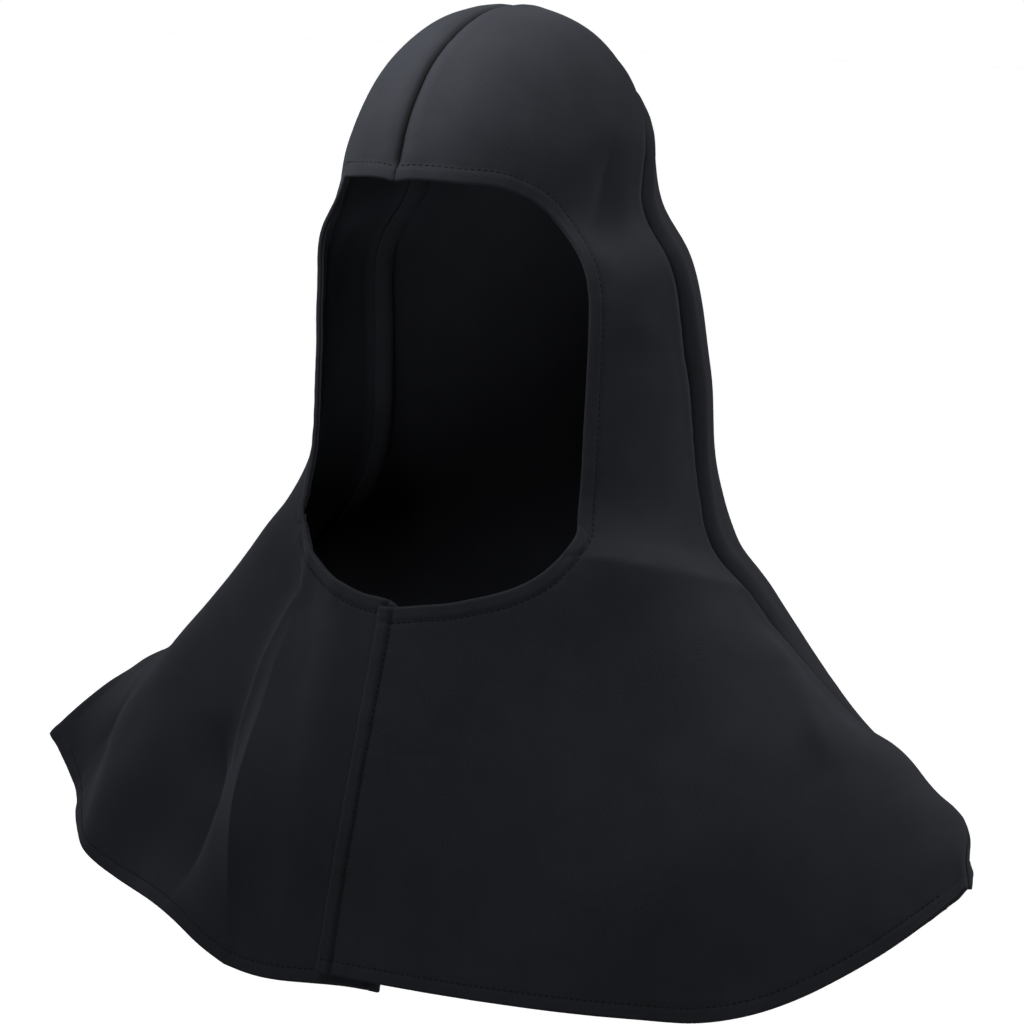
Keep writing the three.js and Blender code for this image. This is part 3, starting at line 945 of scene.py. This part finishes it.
@dataclass
class ClothPanel:
    """One sewn panel, shaped over the frame's own panel."""

    node: str
    edges: tuple[Edge, ...]  # round the panel from its highest corner
    sewing: dict[Edge, Sewing]
    levels: int  # of subdivision
    cut: tuple[float, float]  # width and length of the cloth that it is cut from
    area: float  # of the cut
    free: tuple[tuple[Edge, ...], ...]  # chains of edges that no seam joins to another panel
    lines: dict[Edge, list[int]] = field(default_factory=dict)
    faces: list[tuple[int, ...]] = field(default_factory=list)

    def shape(self) -> None:
        """Makes the outer face of the sewn cloth."""
        cells = outer_cells(self.node)
        corners = [
            point.index for point in cells.verts if point.is_boundary and len(point.link_edges) != 3
        ]
        sheet = self.smooth_sheet(cells)
        mesh = sheet.data
        self.points = points_of(mesh)
        self.faces = [tuple(face.vertices) for face in mesh.polygons]
        self.weave = rows_of(mesh.attributes["weave"].data, "vector")
        self.name_edges(open_rim(mesh), corners)
        self.mesh = mesh
        self.sew()
        self.set_rim()
        bpy.context.scene.collection.objects.unlink(sheet)

    def smooth_sheet(self, cells: bmesh.types.BMesh) -> bpy.types.Object:
        """Smooths the cells into cloth that runs through the frame's points.

        Args:
            cells: the panel's cells.

        Returns:
            The smooth sheet.
        """
        mesh = bpy.data.meshes.new(self.node + "_sheet")
        cells.to_mesh(mesh)
        cells.free()
        sheet = put(mesh.name, mesh)
        self.unwrap(sheet)
        wanted = points_of(mesh)
        levels = {"levels": self.levels, "render_levels": self.levels}
        modifier = add_modifier(sheet, "SUBSURF", boundary_smooth="PRESERVE_CORNERS", **levels)
        for _ in range(FIT_ROUNDS):
            shown = sheet.evaluated_get(bpy.context.evaluated_depsgraph_get())
            reached = points_of(shown.to_mesh())[:len(wanted)]
            shown.to_mesh_clear()
            move_points(mesh, points_of(mesh) + wanted - reached)
        apply_modifier(sheet, modifier)
        return sheet

    def unwrap(self, sheet: bpy.types.Object) -> None:
        """Lays the cells flat and keeps each point's place on the flat cloth.

        Args:
            sheet: the cells.
        """
        mesh = sheet.data
        mesh.uv_layers.new(name="flat")
        select_only(sheet)
        bpy.ops.object.mode_set(mode="EDIT")
        bpy.ops.mesh.select_all(action="SELECT")
        bpy.ops.uv.unwrap(method="MINIMUM_STRETCH", iterations=UNWRAP_ROUNDS)
        bpy.ops.object.mode_set(mode="OBJECT")
        flat = np.zeros((len(mesh.vertices), 2))
        for loop, place in zip(mesh.loops, mesh.uv_layers["flat"].uv):
            flat[loop.vertex_index] = place.vector
        flat -= flat.mean(axis=0)
        flat *= math.sqrt(self.cloth_area(mesh) / self.flat_area(mesh, flat))
        rows = np.column_stack([flat, np.ones(len(flat))])
        rise, _, _, _ = np.linalg.lstsq(rows, points_of(mesh)[:, 2], rcond=None)
        up = unit(rise[:2])
        turned = np.column_stack([flat @ (up[1], -up[0]), flat @ up, np.zeros(len(flat))])
        extent = np.ptp(turned[:, :2], axis=0).round(3)
        LOG.info("%s: flat %s, area %.4f", self.node, extent, self.cloth_area(mesh))
        keep_weave(mesh, turned)
        mesh.uv_layers.remove(mesh.uv_layers["flat"])

    @staticmethod
    def cloth_area(mesh: bpy.types.Mesh) -> float:
        """Area of the cloth."""
        return sum(face.area for face in mesh.polygons)

    @staticmethod
    def flat_area(mesh: bpy.types.Mesh, flat: Points) -> float:
        """Area of the flat cloth.

        Args:
            mesh: the sheet.
            flat: place of each point on the flat cloth.

        Returns:
            Its area in the flat places' own units.
        """
        total = 0.0
        for face in mesh.polygons:
            x, y = flat[list(face.vertices)].T
            total += abs(np.dot(x, np.roll(y, 1)) - np.dot(y, np.roll(x, 1))) / 2
        return total

    def name_edges(self, rim: list[int], corners: list[int]) -> None:
        """Splits the rim at its corners and names the stretches.

        Args:
            rim: points round the open edge.
            corners: the points where one edge ends and the next begins.
        """
        top = max(corners, key=lambda index: (round(self.points[index, 2], 3), self.points[index, 0]))
        start = rim.index(top)
        rim = rim[start:] + rim[:start]
        turns = [place for place, index in enumerate(rim) if index in set(corners)]
        if self.points[rim[turns[1]], 2] < self.points[rim[turns[-1]], 2]:
            rim = [rim[0]] + rim[:0:-1]
            turns = [place for place, index in enumerate(rim) if index in set(corners)]
        closed = rim + [rim[0]]
        ends = [*turns[1:], len(rim)]
        for edge, first, last in zip(self.edges, turns, ends):
            self.lines[edge] = closed[first:last + 1]
        if Edge.ARCH in self.edges:
            # The two sides and the rounded top of the back are sewn in one run
            self.lines[Edge.SIDE] = self.chain((Edge.LEFT_SIDE, Edge.ARCH, Edge.RIGHT_SIDE))
        self.rim = rim

    def chain(self, edges: Iterable[Edge]) -> list[int]:
        """Points along edges that run on from one to the next."""
        return list(dict.fromkeys(index for edge in edges for index in self.lines[edge]))

    def sew(self) -> None:
        """Lifts the cloth for its drape and its sewing."""
        lines = {edge: EdgeLine(self.points[self.lines[edge]]) for edge in self.sewing}
        measured = {edge: line.measure(self.points) for edge, line in lines.items()}
        lift = sum(shape.lift(self.points) for shape in (*DRAPES, *CREASES[self.node]))
        calm = {edge: self.calm(edge, measured) for edge in measured}
        for edge, (distance, along) in measured.items():
            lift = lift + calm[edge] * self.sewing[edge].lift(distance, along)
        lift = lift + self.imprint()
        nearest = np.min([distance for distance, _ in measured.values()], axis=0)
        self.wear = hump(nearest, 0.0, WEAR_REACH)
        # painted shade along seams and lines of stitches, darkening the colour where the groove's shadow
        # falls
        self.shade = np.max([
            calm[edge] * self.sewing[edge].shade * hump(distance, self.sewing[edge].turned, SHADE_REACH)
            for edge, (distance, _) in measured.items()
        ], axis=0)
        self.move(self.outward() * lift[:, None])

    def outward(self) -> Points:
        """Directions out of the cloth, evened over neighbouring cells.

        Returns:
            One row for each point.
        """
        cells = np.array(self.faces)
        normals = normals_of(self.mesh)
        for _ in range(EVEN_ROUNDS):
            middles = np.repeat(normals[cells].mean(axis=1), cells.shape[1], axis=0)
            sums = [np.bincount(cells.ravel(), middles[:, axis], len(normals)) for axis in range(3)]
            normals = unit(np.stack(sums, axis=1))
        return normals

    def move(self, shift: Points) -> None:
        """Moves the cloth."""
        self.points = self.points + shift
        move_points(self.mesh, self.points)

    def turn_edges(self) -> None:
        """Draws the free edges back by the thickness of their fold and settles the outer face."""
        for edges in self.free:
            line = self.chain(edges)
            edge_line = EdgeLine(self.points[line])
            distance, along = edge_line.measure(self.points)
            inward = edge_line.read(self.inward_of(line), along)
            share = np.clip(1 - distance / FOLD_REACH, 0.0, 1.0) * self.off_tips()
            self.move(inward * FOLD * share[:, None])
        self.set_rim()
        self.surface = BVHTree.FromPolygons(self.points.tolist(), self.faces)

    def calm(self, edge: Edge, measured: dict[Edge, tuple[Points, Points]]) -> Points | float:
        """Share of a seam's shape that is left where it crosses a hem or lies flat on the shoulder.

        Args:
            edge: the edge.
            measured: distances from each edge.

        Returns:
            The share at each place.
        """
        if edge is Edge.CROWN:
            distance, _ = measured[Edge.FACE]
            return CALM_CROWN + (1 - CALM_CROWN) * smooth((distance - FACE_HEM_ZONE) / CROWN_FADE)
        if edge is Edge.SIDE:
            height = self.points[:, 2] - SHOULDER_FLAT
            return CALM_SHOULDER + (1 - CALM_SHOULDER) * smooth(height / SHOULDER_FADE)
        return 1.0

    def imprint(self) -> Points | float:
        """No print of the hidden tape: only the front that covers it has one.

        Returns:
            The lift at each place.
        """
        return 0.0

    def off_tips(self) -> Points:
        """Share from 0 at the tips of the hem to 1 away from them.

        Returns:
            The share at each point.
        """
        ends = (self.lines[Edge.HEM][0], self.lines[Edge.HEM][-1])
        share = np.ones(len(self.points))
        for index in ends:
            if index not in self.lines.get(Edge.FRONT, []):
                away = np.linalg.norm(self.points - self.points[index], axis=1)
                share *= smooth(away / TIP_REACH)
        return share

    def set_rim(self) -> None:
        """Works out the directions at the rim: out of the cloth, and into the panel."""
        normals = self.outward()[self.rim]
        places = self.points[self.rim]
        along = unit(np.roll(places, -1, axis=0) - np.roll(places, 1, axis=0))
        inward = unit(np.cross(normals, along))
        row = {index: place for place, index in enumerate(self.rim)}
        hint = np.zeros_like(places)
        for face in self.faces:
            touching = [index for index in face if index in row]
            if touching:
                middle = self.points[list(face)].mean(axis=0)
                for index in touching:
                    hint[row[index]] += middle - self.points[index]
        if np.einsum("ij,ij->", inward, unit(hint)) < 0:
            self.rim.reverse()
            self.set_rim()
            return
        self.rim_normals = normals
        self.rim_inward = inward
        self.rim_row = row

    def inward_of(self, line: list[int], out: Points | None = None) -> Points:
        """Directions from an edge into the panel, square to the edge up to its ends.

        Args:
            line: the points of the edge.
            out: directions out of the cloth, if not the cloth's own.

        Returns:
            One row for each point.
        """
        rows = [self.rim_row[index] for index in line]
        normals = self.rim_normals[rows] if out is None else out
        across = unit(np.cross(normals, np.gradient(self.points[line], axis=0)))
        side = np.einsum("ij,ij->i", across, self.rim_inward[rows])
        return across * np.where(side < 0, -1.0, 1.0)[:, None]

    def build(self, material: bpy.types.Material) -> bpy.types.Object:
        """Makes the panel with its edges folded under.

        Args:
            material: the cloth.

        Returns:
            The panel.
        """
        rim_places = self.points[self.rim]
        rim_weave = self.weave[self.rim]
        count = len(self.rim)
        points, weave, faces = [self.points], [self.weave], list(self.faces)
        rows = [list(self.rim)]
        total = len(self.points)
        for step in range(1, FOLD_STEPS + 1):
            turn = math.pi * step / FOLD_STEPS
            reach = -self.rim_inward * math.sin(turn) + self.rim_normals * (math.cos(turn) - 1)
            points.append(rim_places + FOLD * reach)
            weave.append(rim_weave + (FOLD * turn, FOLD * turn, 0.0))
            rows.append(list(range(total, total + count)))
            total += count
        for upper, lower in zip(rows, rows[1:]):
            for place in range(count):
                ahead = (place + 1) % count
                faces.append((upper[ahead], upper[place], lower[place], lower[ahead]))
        wear = np.concatenate([self.wear, np.ones(count * FOLD_STEPS)])
        # the painted seam shade runs on round the fold
        shade = np.concatenate([self.shade, np.tile(self.shade[self.rim], FOLD_STEPS)])
        laid, flat = np.concatenate(points), np.concatenate(weave)
        panel = new_piece(self.node + "_cloth", laid, faces, flat, wear, shade)
        apply_modifier(panel, add_modifier(panel, "SOLIDIFY", thickness=CLOTH, offset=-1.0))
        return dress(panel, material, [self.node])

    def inset(self, line: list[int], distances: Iterable[float]) -> tuple[Points, Points]:
        """Lines on the cloth beside an edge.

        Args:
            line: the points of the edge.
            distances: from the edge, in order.

        Returns:
            The points of each line, and the cloth's normals there.
        """
        places, normals = [], []
        for index, across in zip(line, self.inward_of(line)):
            place, inward, walked = Vector(self.points[index]), Vector(across), 0.0
            track, tilt = [], []
            for distance in distances:
                near, normal, _, _ = self.surface.find_nearest(place + inward * (distance - walked))
                inward = (inward - normal * inward.dot(normal)).normalized()
                place, walked = near, distance
                track.append(near)
                tilt.append(normal)
            places.append(track)
            normals.append(tilt)
        return np.array(places).transpose(1, 0, 2), np.array(normals).transpose(1, 0, 2)


@dataclass
class TapedFront(ClothPanel):
    """The front that laps over the other one and hides the fastening tape."""

    tape_node: str = "closure_strip"
    print_height: float = 0.35 * MM
    print_from: float = 5 * MM
    print_to: float = 2.3 * MM

    def imprint(self) -> Points | float:
        """Faint print of the hidden tape on the front that covers it.

        Returns:
            The lift at each place.
        """
        low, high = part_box(self.tape_node)
        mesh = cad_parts[self.tape_node].data
        faces = [tuple(face.vertices) for face in mesh.polygons]
        tape = BVHTree.FromPolygons(points_of(mesh).tolist(), faces)
        lift = np.zeros(len(self.points))
        margin = 2 * self.print_from
        above = np.all(self.points > np.array(low) - margin, axis=1)
        below = np.all(self.points < np.array(high) + margin, axis=1)
        close = above & below
        for index in np.nonzero(close)[0]:
            away = tape.find_nearest(Vector(self.points[index]))[3]
            share = (self.print_from - away) / (self.print_from - self.print_to)
            lift[index] = self.print_height * smooth(share)
        return lift


# Seams, turned layers and stitches


def lay_strip(
    name: str,
    rows: Points,
    out: Points,
    weave: Points,
    wear: Points,
    thickness: float,
) -> bpy.types.Object:
    """Makes a strip of cloth that lies on the inner side of a panel.

    Args:
        name: the strip's name.
        rows: lines along the strip, on the face that touches the panel.
        out: the panel's outward direction at the strip's first point.
        weave: the place of each point on the flat strip.
        wear: how worn each point is.
        thickness: of the strip.

    Returns:
        The strip.
    """
    lines, count, _ = rows.shape
    starts = [row * count + place for row in range(lines - 1) for place in range(count - 1)]
    faces = [(start, start + 1, start + count + 1, start + count) for start in starts]
    across = np.cross(rows[0, 1] - rows[0, 0], rows[1, 0] - rows[0, 0])
    if np.dot(across, out) < 0:
        faces = [face[::-1] for face in faces]
    strip = new_piece(name, rows.reshape(-1, 3), faces, weave.reshape(-1, 3), wear.ravel())
    apply_modifier(strip, add_modifier(strip, "SOLIDIFY", thickness=thickness, offset=-1.0))
    return strip


@dataclass
class Seam:
    """A seam between two panels, with a binding on its inner side."""

    name: str
    panels: tuple[ClothPanel, ClothPanel]
    lines: tuple[list[int], list[int]]  # the points of each panel along the seam, in the same order
    trim: tuple[float, float]  # length of seam without a binding at its two ends
    reach: float = 9 * MM  # the cloth gives way to the seam within this distance
    even: float = 4 * MM  # the directions are evened over this length
    slack: float = 0.04 * MM  # half the clearance between the two folds
    rounds: int = 3
    width: float = 7 * MM  # of the binding on each side
    steps: int = 3  # rows of cells on each side
    spacing: float = 3 * MM  # of the binding's points along the seam
    clear: float = 0.12 * MM  # between the folds and the binding
    thickness: float = 0.8 * MM  # of the binding

    def close(self) -> None:
        """Brings the two folds of the seam together."""
        edges = [EdgeLine(panel.points[line]) for panel, line in zip(self.panels, self.lines)]
        measured = [edge.measure(panel.points) for edge, panel in zip(edges, self.panels)]
        facing = [edges[1 - side].measure(edges[side].points)[1] for side in (0, 1)]
        middles = [
            (edges[side].points + edges[1 - side].read(edges[1 - side].points, facing[side])) / 2
            for side in (0, 1)
        ]
        for _ in range(self.rounds):
            normals = [
                edge.evened(panel.outward()[line], self.even)
                for edge, panel, line in zip(edges, self.panels, self.lines)
            ]
            shifts = []
            for side, (panel, line) in enumerate(zip(self.panels, self.lines)):
                out = unit(normals[side] + edges[1 - side].read(normals[1 - side], facing[side]))
                inward = panel.inward_of(line, out)
                wanted = middles[side] + inward * (FOLD + self.slack) + (normals[side] - out) * FOLD
                distance, along = measured[side]
                share = 1 - smooth(distance / self.reach)
                shifts.append(edges[side].read(wanted - panel.points[line], along) * share[:, None])
            for panel, shift in zip(self.panels, shifts):
                panel.move(shift)
                panel.set_rim()

    def build(self, material: bpy.types.Material) -> bpy.types.Object:
        """Makes the binding, which covers the two folds from inside.

        Args:
            material: the cloth.

        Returns:
            The binding.
        """
        distances = [self.width * step / self.steps for step in range(self.steps + 1)]
        halves = []
        for panel, line in zip(self.panels, self.lines):
            places, normals = panel.inset(line, distances)
            halves.append([EdgeLine(places[0]), places, normals])
        count = int(halves[-1][0].run[-1] / self.spacing)
        length = min(half[0].run[-1] for half in halves)
        share = np.linspace(self.trim[0], length - self.trim[1], count) / length
        sides = []
        for edge, places, normals in halves:
            at = share * edge.run[-1]
            sides.append([
                (edge.read(line, at), unit(edge.read(tilt, at)))
                for line, tilt in zip(places, normals)
            ])
        middle = tuple((first + second) / 2 for first, second in zip(sides[0][0], sides[1][0]))
        rows = [*sides[0][:0:-1], (middle[0], unit(middle[1])), *sides[1][1:]]
        depth = 2 * FOLD + self.clear
        points = np.array([line - tilt * depth for line, tilt in rows])
        weave = np.zeros_like(points)
        weave[:, :, 0] = share * length
        weave[:, :, 1] = np.linspace(-self.width, self.width, len(rows))[:, None]
        wear = np.zeros(points.shape[:2])
        strip = lay_strip(self.name, points, rows[0][1][0], weave, wear, self.thickness)
        return dress(strip, material)


@dataclass
class TurnedLayer:
    """Cloth turned in along an edge of a panel."""

    name: str
    panel: ClothPanel
    edge: Edge
    nodes: tuple[str, ...] = ()
    trim: tuple[float, float] = (0.3 * MM, 0.3 * MM)  # left free at the two ends of the edge
    rows: int = 6
    worn: float = 1.5 * MM  # reach of the wear along its inner edge

    def build(self, material: bpy.types.Material) -> bpy.types.Object:
        """Makes the layer, which starts at the fold and lies against the panel.

        Args:
            material: the cloth.

        Returns:
            The layer.
        """
        width = self.panel.sewing[self.edge].turned
        distances = np.linspace(0.0, width, self.rows + 1)
        places, normals = self.panel.inset(self.panel.lines[self.edge], distances)
        run = EdgeLine(places[0]).run
        keep = np.nonzero((run >= self.trim[0]) & (run <= run[-1] - self.trim[1]))[0]
        points = (places - unit(normals) * 2 * FOLD)[:, keep]
        weave = np.zeros_like(points)
        weave[:, :, 0] = run[keep]
        weave[:, :, 1] = distances[:, None]
        wear = hump(weave[:, :, 1], width, self.worn)
        layer = lay_strip(self.name, points, normals[0, keep[0]], weave, wear, CLOTH)
        return dress(layer, material, self.nodes)


@dataclass(frozen=True)
class Stitch:
    """One stitch, whose two ends dive into the cloth."""

    pitch: float = 3.2 * MM
    length: float = 2.7 * MM
    thread: float = 0.6 * MM
    sides: int = 6
    rings: int = 5
    rise: float = 0.12 * MM  # of its middle above the cloth
    sunk: float = 0.34 * MM  # depth of its ends
    margin: float = 0.8 * MM  # from a row of stitches to the inner edge of the turned layer

    def model(self) -> tuple[Points, list[tuple[int, ...]]]:
        """Models one stitch along X, with Z out of the cloth.

        Returns:
            Its points and faces.
        """
        bpy.ops.object.select_all(action="DESELECT")
        bpy.ops.mesh.primitive_uv_sphere_add(segments=self.sides, ring_count=self.rings, radius=0.5)
        ball = bpy.context.object
        bpy.ops.object.mode_set(mode="EDIT")
        bpy.ops.mesh.select_all(action="SELECT")
        bpy.ops.transform.rotate(
            value=math.pi / 2, orient_axis="Y", orient_type="GLOBAL", center_override=(0.0, 0.0, 0.0)
        )
        bpy.ops.transform.resize(value=(self.length, self.thread, self.thread))
        bpy.ops.object.mode_set(mode="OBJECT")
        points = points_of(ball.data)
        faces = [tuple(face.vertices) for face in ball.data.polygons]
        bpy.data.objects.remove(ball)
        ends = (2 * points[:, 0] / self.length) ** 2
        points[:, 2] += self.rise - self.sunk * ends
        return points, faces


@dataclass
class StitchRow:
    """Stitches along an edge of a panel, on its face and on its turned layer."""

    name: str
    panel: ClothPanel
    edges: tuple[Edge, ...]
    stitch: Stitch = Stitch()
    trim: tuple[float, float] = (1.5 * MM, 1.5 * MM)
    steps: int = 4  # of the walk from the edge to the row

    def build(self, material: bpy.types.Material) -> bpy.types.Object:
        """Makes all the stitches as one piece.

        Args:
            material: the thread.

        Returns:
            The stitches.
        """
        model, model_faces = self.stitch.model()
        points = []
        for edge in self.edges:
            inset = self.panel.sewing[edge].turned - self.stitch.margin
            steps = np.linspace(0.0, inset, self.steps)
            places, normals = self.panel.inset(self.panel.lines[edge], steps)
            for spot, along, out in self.spots(EdgeLine(places[-1]), unit(normals[-1])):
                points.append(self.set_down(model, spot, along, out))
                points.append(self.set_down(model, spot - out * 2 * FOLD, along, -out))
        faces = [
            [index + number * len(model) for index in face]
            for number in range(len(points)) for face in model_faces
        ]
        laid, weave = np.concatenate(points), np.tile(model, (len(points), 1))
        row = new_piece(self.name, laid, faces, weave, np.zeros(len(laid)))
        return dress(row, material)

    def spots(self, line: EdgeLine, tilt: Points) -> Iterable[tuple[Points, Points, Points]]:
        """Places of the stitches.

        Args:
            line: the sewn line.
            tilt: the cloth's normals along it.

        Yields:
            The middle of each stitch, its direction and the direction out of the cloth.
        """
        pitch = self.stitch.pitch
        count = int((line.run[-1] - sum(self.trim)) / pitch)
        for number in range(count):
            at = self.trim[0] + (number + 0.5) * pitch
            ahead = line.read(line.points, at + pitch / 2) - line.read(line.points, at - pitch / 2)
            yield line.read(line.points, at), unit(ahead), unit(line.read(tilt, at))

    @staticmethod
    def set_down(model: Points, spot: Points, along: Points, out: Points) -> Points:
        """One stitch in its place."""
        side = unit(np.cross(out, along))
        return spot + model @ np.array([along, side, np.cross(along, side)])


@dataclass
class FasteningTape:
    """The closed hook-and-loop tape between the two fronts."""

    node: str = "closure_strip"
    cuts: int = 3
    roundness: float = 0.3 * MM
    round_steps: int = 2
    round_from: float = 1.0  # the least angle of a rounded edge

    def build(self, material: bpy.types.Material) -> bpy.types.Object:
        """Makes the tape from the frame's strip, with rounded selvedges.

        Args:
            material: the tape.

        Returns:
            The tape.
        """
        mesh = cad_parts[self.node].data.copy()
        mesh.name = "fastening_tape"
        tape = put("fastening_tape", mesh)
        select_only(tape)
        bpy.ops.object.mode_set(mode="EDIT")
        bpy.ops.mesh.select_all(action="SELECT")
        bpy.ops.mesh.remove_doubles(threshold=MERGE)
        bpy.ops.mesh.tris_convert_to_quads(face_threshold=math.pi, shape_threshold=math.pi)
        bpy.ops.mesh.subdivide(number_cuts=self.cuts)
        bpy.ops.object.mode_set(mode="OBJECT")
        rounding = add_modifier(
            tape,
            "BEVEL",
            width=self.roundness,
            segments=self.round_steps,
            limit_method="ANGLE",
            angle_limit=self.round_from,
        )
        apply_modifier(tape, rounding)
        return dress(tape, material, [self.node])


# Studio


@dataclass(frozen=True)
class Lamp:
    """A soft lamp, far away or close by."""

    name: str
    place: tuple[float, float, float]  # of a close lamp, or the direction of a far one
    spread: float  # width of a close lamp in metres, or the angle that a far one fills in degrees
    strength: float
    close: bool = False

    def hang(self) -> None:
        """Places the lamp so that it faces the crown."""
        data = bpy.data.lights.new(self.name, "AREA" if self.close else "SUN")
        data.energy = self.strength
        if self.close:
            data.shape = "DISK"
            data.size = self.spread
        else:
            data.angle = math.radians(self.spread)
        lamp = put(self.name, data)
        lamp.location = self.place
        lamp.visible_camera = False
        lamp.rotation_euler = (-Vector(self.place)).to_track_quat("-Z", "Y").to_euler()


LAMPS = (
    Lamp("overhead", (0.15, 0.5, 1.0), 50.0, 1.75),
    Lamp("right", (1.0, 0.4, -0.2), 50.0, 0.8),
    Lamp("left", (-1.0, -0.1, 0.7), 50.0, 0.5),
    Lamp("front", (0.5, -1.0, -0.5), 40.0, 0.85),
    Lamp("crown", (-0.06, -0.22, 0.16), 0.25, 1.5, close=True),
)


@dataclass
class Studio:
    """Camera, floor and soft light."""

    azimuth: float = math.radians(33)
    elevation: float = math.radians(10)
    distance: float = 2.1
    target: tuple[float, float, float] = (0.0, 0.0, -0.25)
    sensor: float = 36.0
    view_width: float = 0.515 * MM * 1024  # seen at the target
    shift: tuple[float, float] = (12 / 1024, -16.4 / 1024)  # the target lies off the picture's middle
    floor_gap: float = 700 * MM
    floor_size: float = 30.0
    sky: float = 1.0

    def back(self) -> Vector:
        """Direction from the target to the camera."""
        level = math.cos(self.elevation)
        return Vector((
            math.sin(self.azimuth) * level,
            -math.cos(self.azimuth) * level,
            math.sin(self.elevation),
        ))

    def set_camera(self) -> None:
        """Places the camera."""
        data = bpy.data.cameras.new("camera")
        data.sensor_width = self.sensor
        data.lens = self.sensor * self.distance / self.view_width
        data.shift_x, data.shift_y = self.shift
        camera = put("camera", data)
        camera.location = Vector(self.target) + self.back() * self.distance
        camera.rotation_euler = (-self.back()).to_track_quat("-Z", "Y").to_euler()
        bpy.context.scene.camera = camera

    def lay_floor(self, material: bpy.types.Material) -> None:
        """Lays the floor below the shroud.

        Args:
            material: the floor's finish.
        """
        bpy.ops.object.select_all(action="DESELECT")
        height = CAD_BOX[0].z - self.floor_gap
        bpy.ops.mesh.primitive_plane_add(size=self.floor_size, location=(0.0, 0.0, height))
        floor = bpy.context.object
        floor.name = "floor"
        bpy.ops.object.transform_apply(location=True, rotation=True, scale=True)
        floor.data.materials.append(material)
        floor.visible_diffuse = False
        floor.visible_glossy = False
        floor.visible_shadow = False

    def light(self) -> None:
        """Sets a white surround that is only seen, and soft lamps."""
        scene = bpy.context.scene
        scene.world = bpy.data.worlds.new("surround")
        scene.world.use_nodes = True
        surround = scene.world.node_tree.nodes["Background"]
        surround.inputs["Color"].default_value = (1.0, 1.0, 1.0, 1.0)
        surround.inputs["Strength"].default_value = self.sky
        scene.world.cycles_visibility.diffuse = False
        scene.world.cycles_visibility.glossy = False
        scene.view_settings.view_transform = "Standard"
        for lamp in LAMPS:
            lamp.hang()


@dataclass
class Shroud:
    """The sewn shroud: two fronts and a back, joined by three seams."""

    left: ClothPanel
    right: ClothPanel
    back: ClothPanel
    cloth: bpy.types.Material
    thread: bpy.types.Material

    def sew(self) -> None:
        """Shapes the panels and closes the seams between them."""
        panels = (self.left, self.right, self.back)
        for panel in panels:
            panel.shape()
        lines = self.back.lines
        top = lines[Edge.ARCH]
        middle = int(np.argmin(np.abs(self.back.points[top, 0])))
        left_line = lines[Edge.LEFT_SIDE] + top[1:middle + 1]
        right_line = lines[Edge.RIGHT_SIDE][::-1] + top[-2:middle - 1:-1]
        self.seams = {
            "crown": Seam(
                "crown_binding",
                (self.left, self.right),
                (self.left.lines[Edge.CROWN], self.right.lines[Edge.CROWN]),
                CROWN_ENDS,
            ),
            "left": Seam(
                "left_side_binding",
                (self.left, self.back),
                (self.left.lines[Edge.SIDE], left_line),
                SIDE_ENDS,
            ),
            "right": Seam(
                "right_side_binding",
                (self.right, self.back),
                (self.right.lines[Edge.SIDE], right_line),
                SIDE_ENDS,
            ),
        }
        for seam in self.seams.values():
            seam.close()
        for panel in panels:
            panel.turn_edges()

    def build(self) -> None:
        """Builds the panels with their bindings, hems and stitches."""
        bindings = {name: seam.build(self.cloth) for name, seam in self.seams.items()}
        self.build_front(self.left, "left", ("front_edge_hem",), [bindings["crown"], bindings["left"]])
        self.build_front(self.right, "right", (), [bindings["right"]])
        self.build_back()

    def build_front(
        self,
        panel: ClothPanel,
        side: str,
        front_nodes: tuple[str, ...],
        bindings: list[bpy.types.Object],
    ) -> None:
        """Builds one front with its hems and stitches.

        Args:
            panel: the front.
            side: left or right.
            front_nodes: the nodes that its turned front edge stands for.
            bindings: the bindings sewn to it.
        """
        body = panel.build(self.cloth)
        face, neck, cape = ("face_hem_" + side, "neck_hem_" + side, "cape_hem_" + side)
        hems = [
            TurnedLayer(face + "_cloth", panel, Edge.FACE, (face,)),
            TurnedLayer(neck + "_cloth", panel, Edge.NECKLINE, (neck,)),
            TurnedLayer(cape + "_cloth", panel, Edge.HEM, (cape,), CORNER_TIP),
            TurnedLayer("front_hem_" + side, panel, Edge.FRONT, front_nodes, FRONT_ENDS),
        ]
        rows = [
            StitchRow("face_stitches_" + side, panel, (Edge.FACE, Edge.NECKLINE)),
            StitchRow("cape_stitches_" + side, panel, (Edge.HEM,), trim=CORNER_TIP),
            StitchRow("front_stitches_" + side, panel, (Edge.FRONT,)),
        ]
        made = [hem.build(self.cloth) for hem in hems] + [row.build(self.thread) for row in rows]
        made + bindings

    def build_back(self) -> None:
        """Builds the back with its hem and stitches."""
        body = self.back.build(self.cloth)
        hem = TurnedLayer("cape_hem_back_cloth", self.back, Edge.HEM, ("cape_hem_back",), TIP_TIP)
        row = StitchRow("cape_stitches_back", self.back, (Edge.HEM,), trim=TIP_TIP)
        hem.build(self.cloth)
        row.build(self.thread)


def main() -> None:
    """Builds the shroud in its studio."""
    logging.basicConfig(level=logging.INFO, format="%(message)s")
    studio = Studio()
    studio.set_camera()
    studio.light()
    studio.lay_floor(FloorFinish().make())
    shroud = Shroud(
        left=TapedFront("front_left", **FRONT_PLAN, cut=(0.345, 0.555), area=0.101),
        right=ClothPanel("front_right", **FRONT_PLAN, cut=(0.333, 0.552), area=0.0948),
        back=ClothPanel("back_panel", **BACK_PLAN, cut=(0.688, 0.448), area=0.159),
        cloth=TwillFinish().make(),
        thread=ThreadFinish().make(),
    )
    shroud.sew()
    shroud.build()
    FasteningTape().build(TapeFinish().make())


if __name__ == "__main__":
    main()
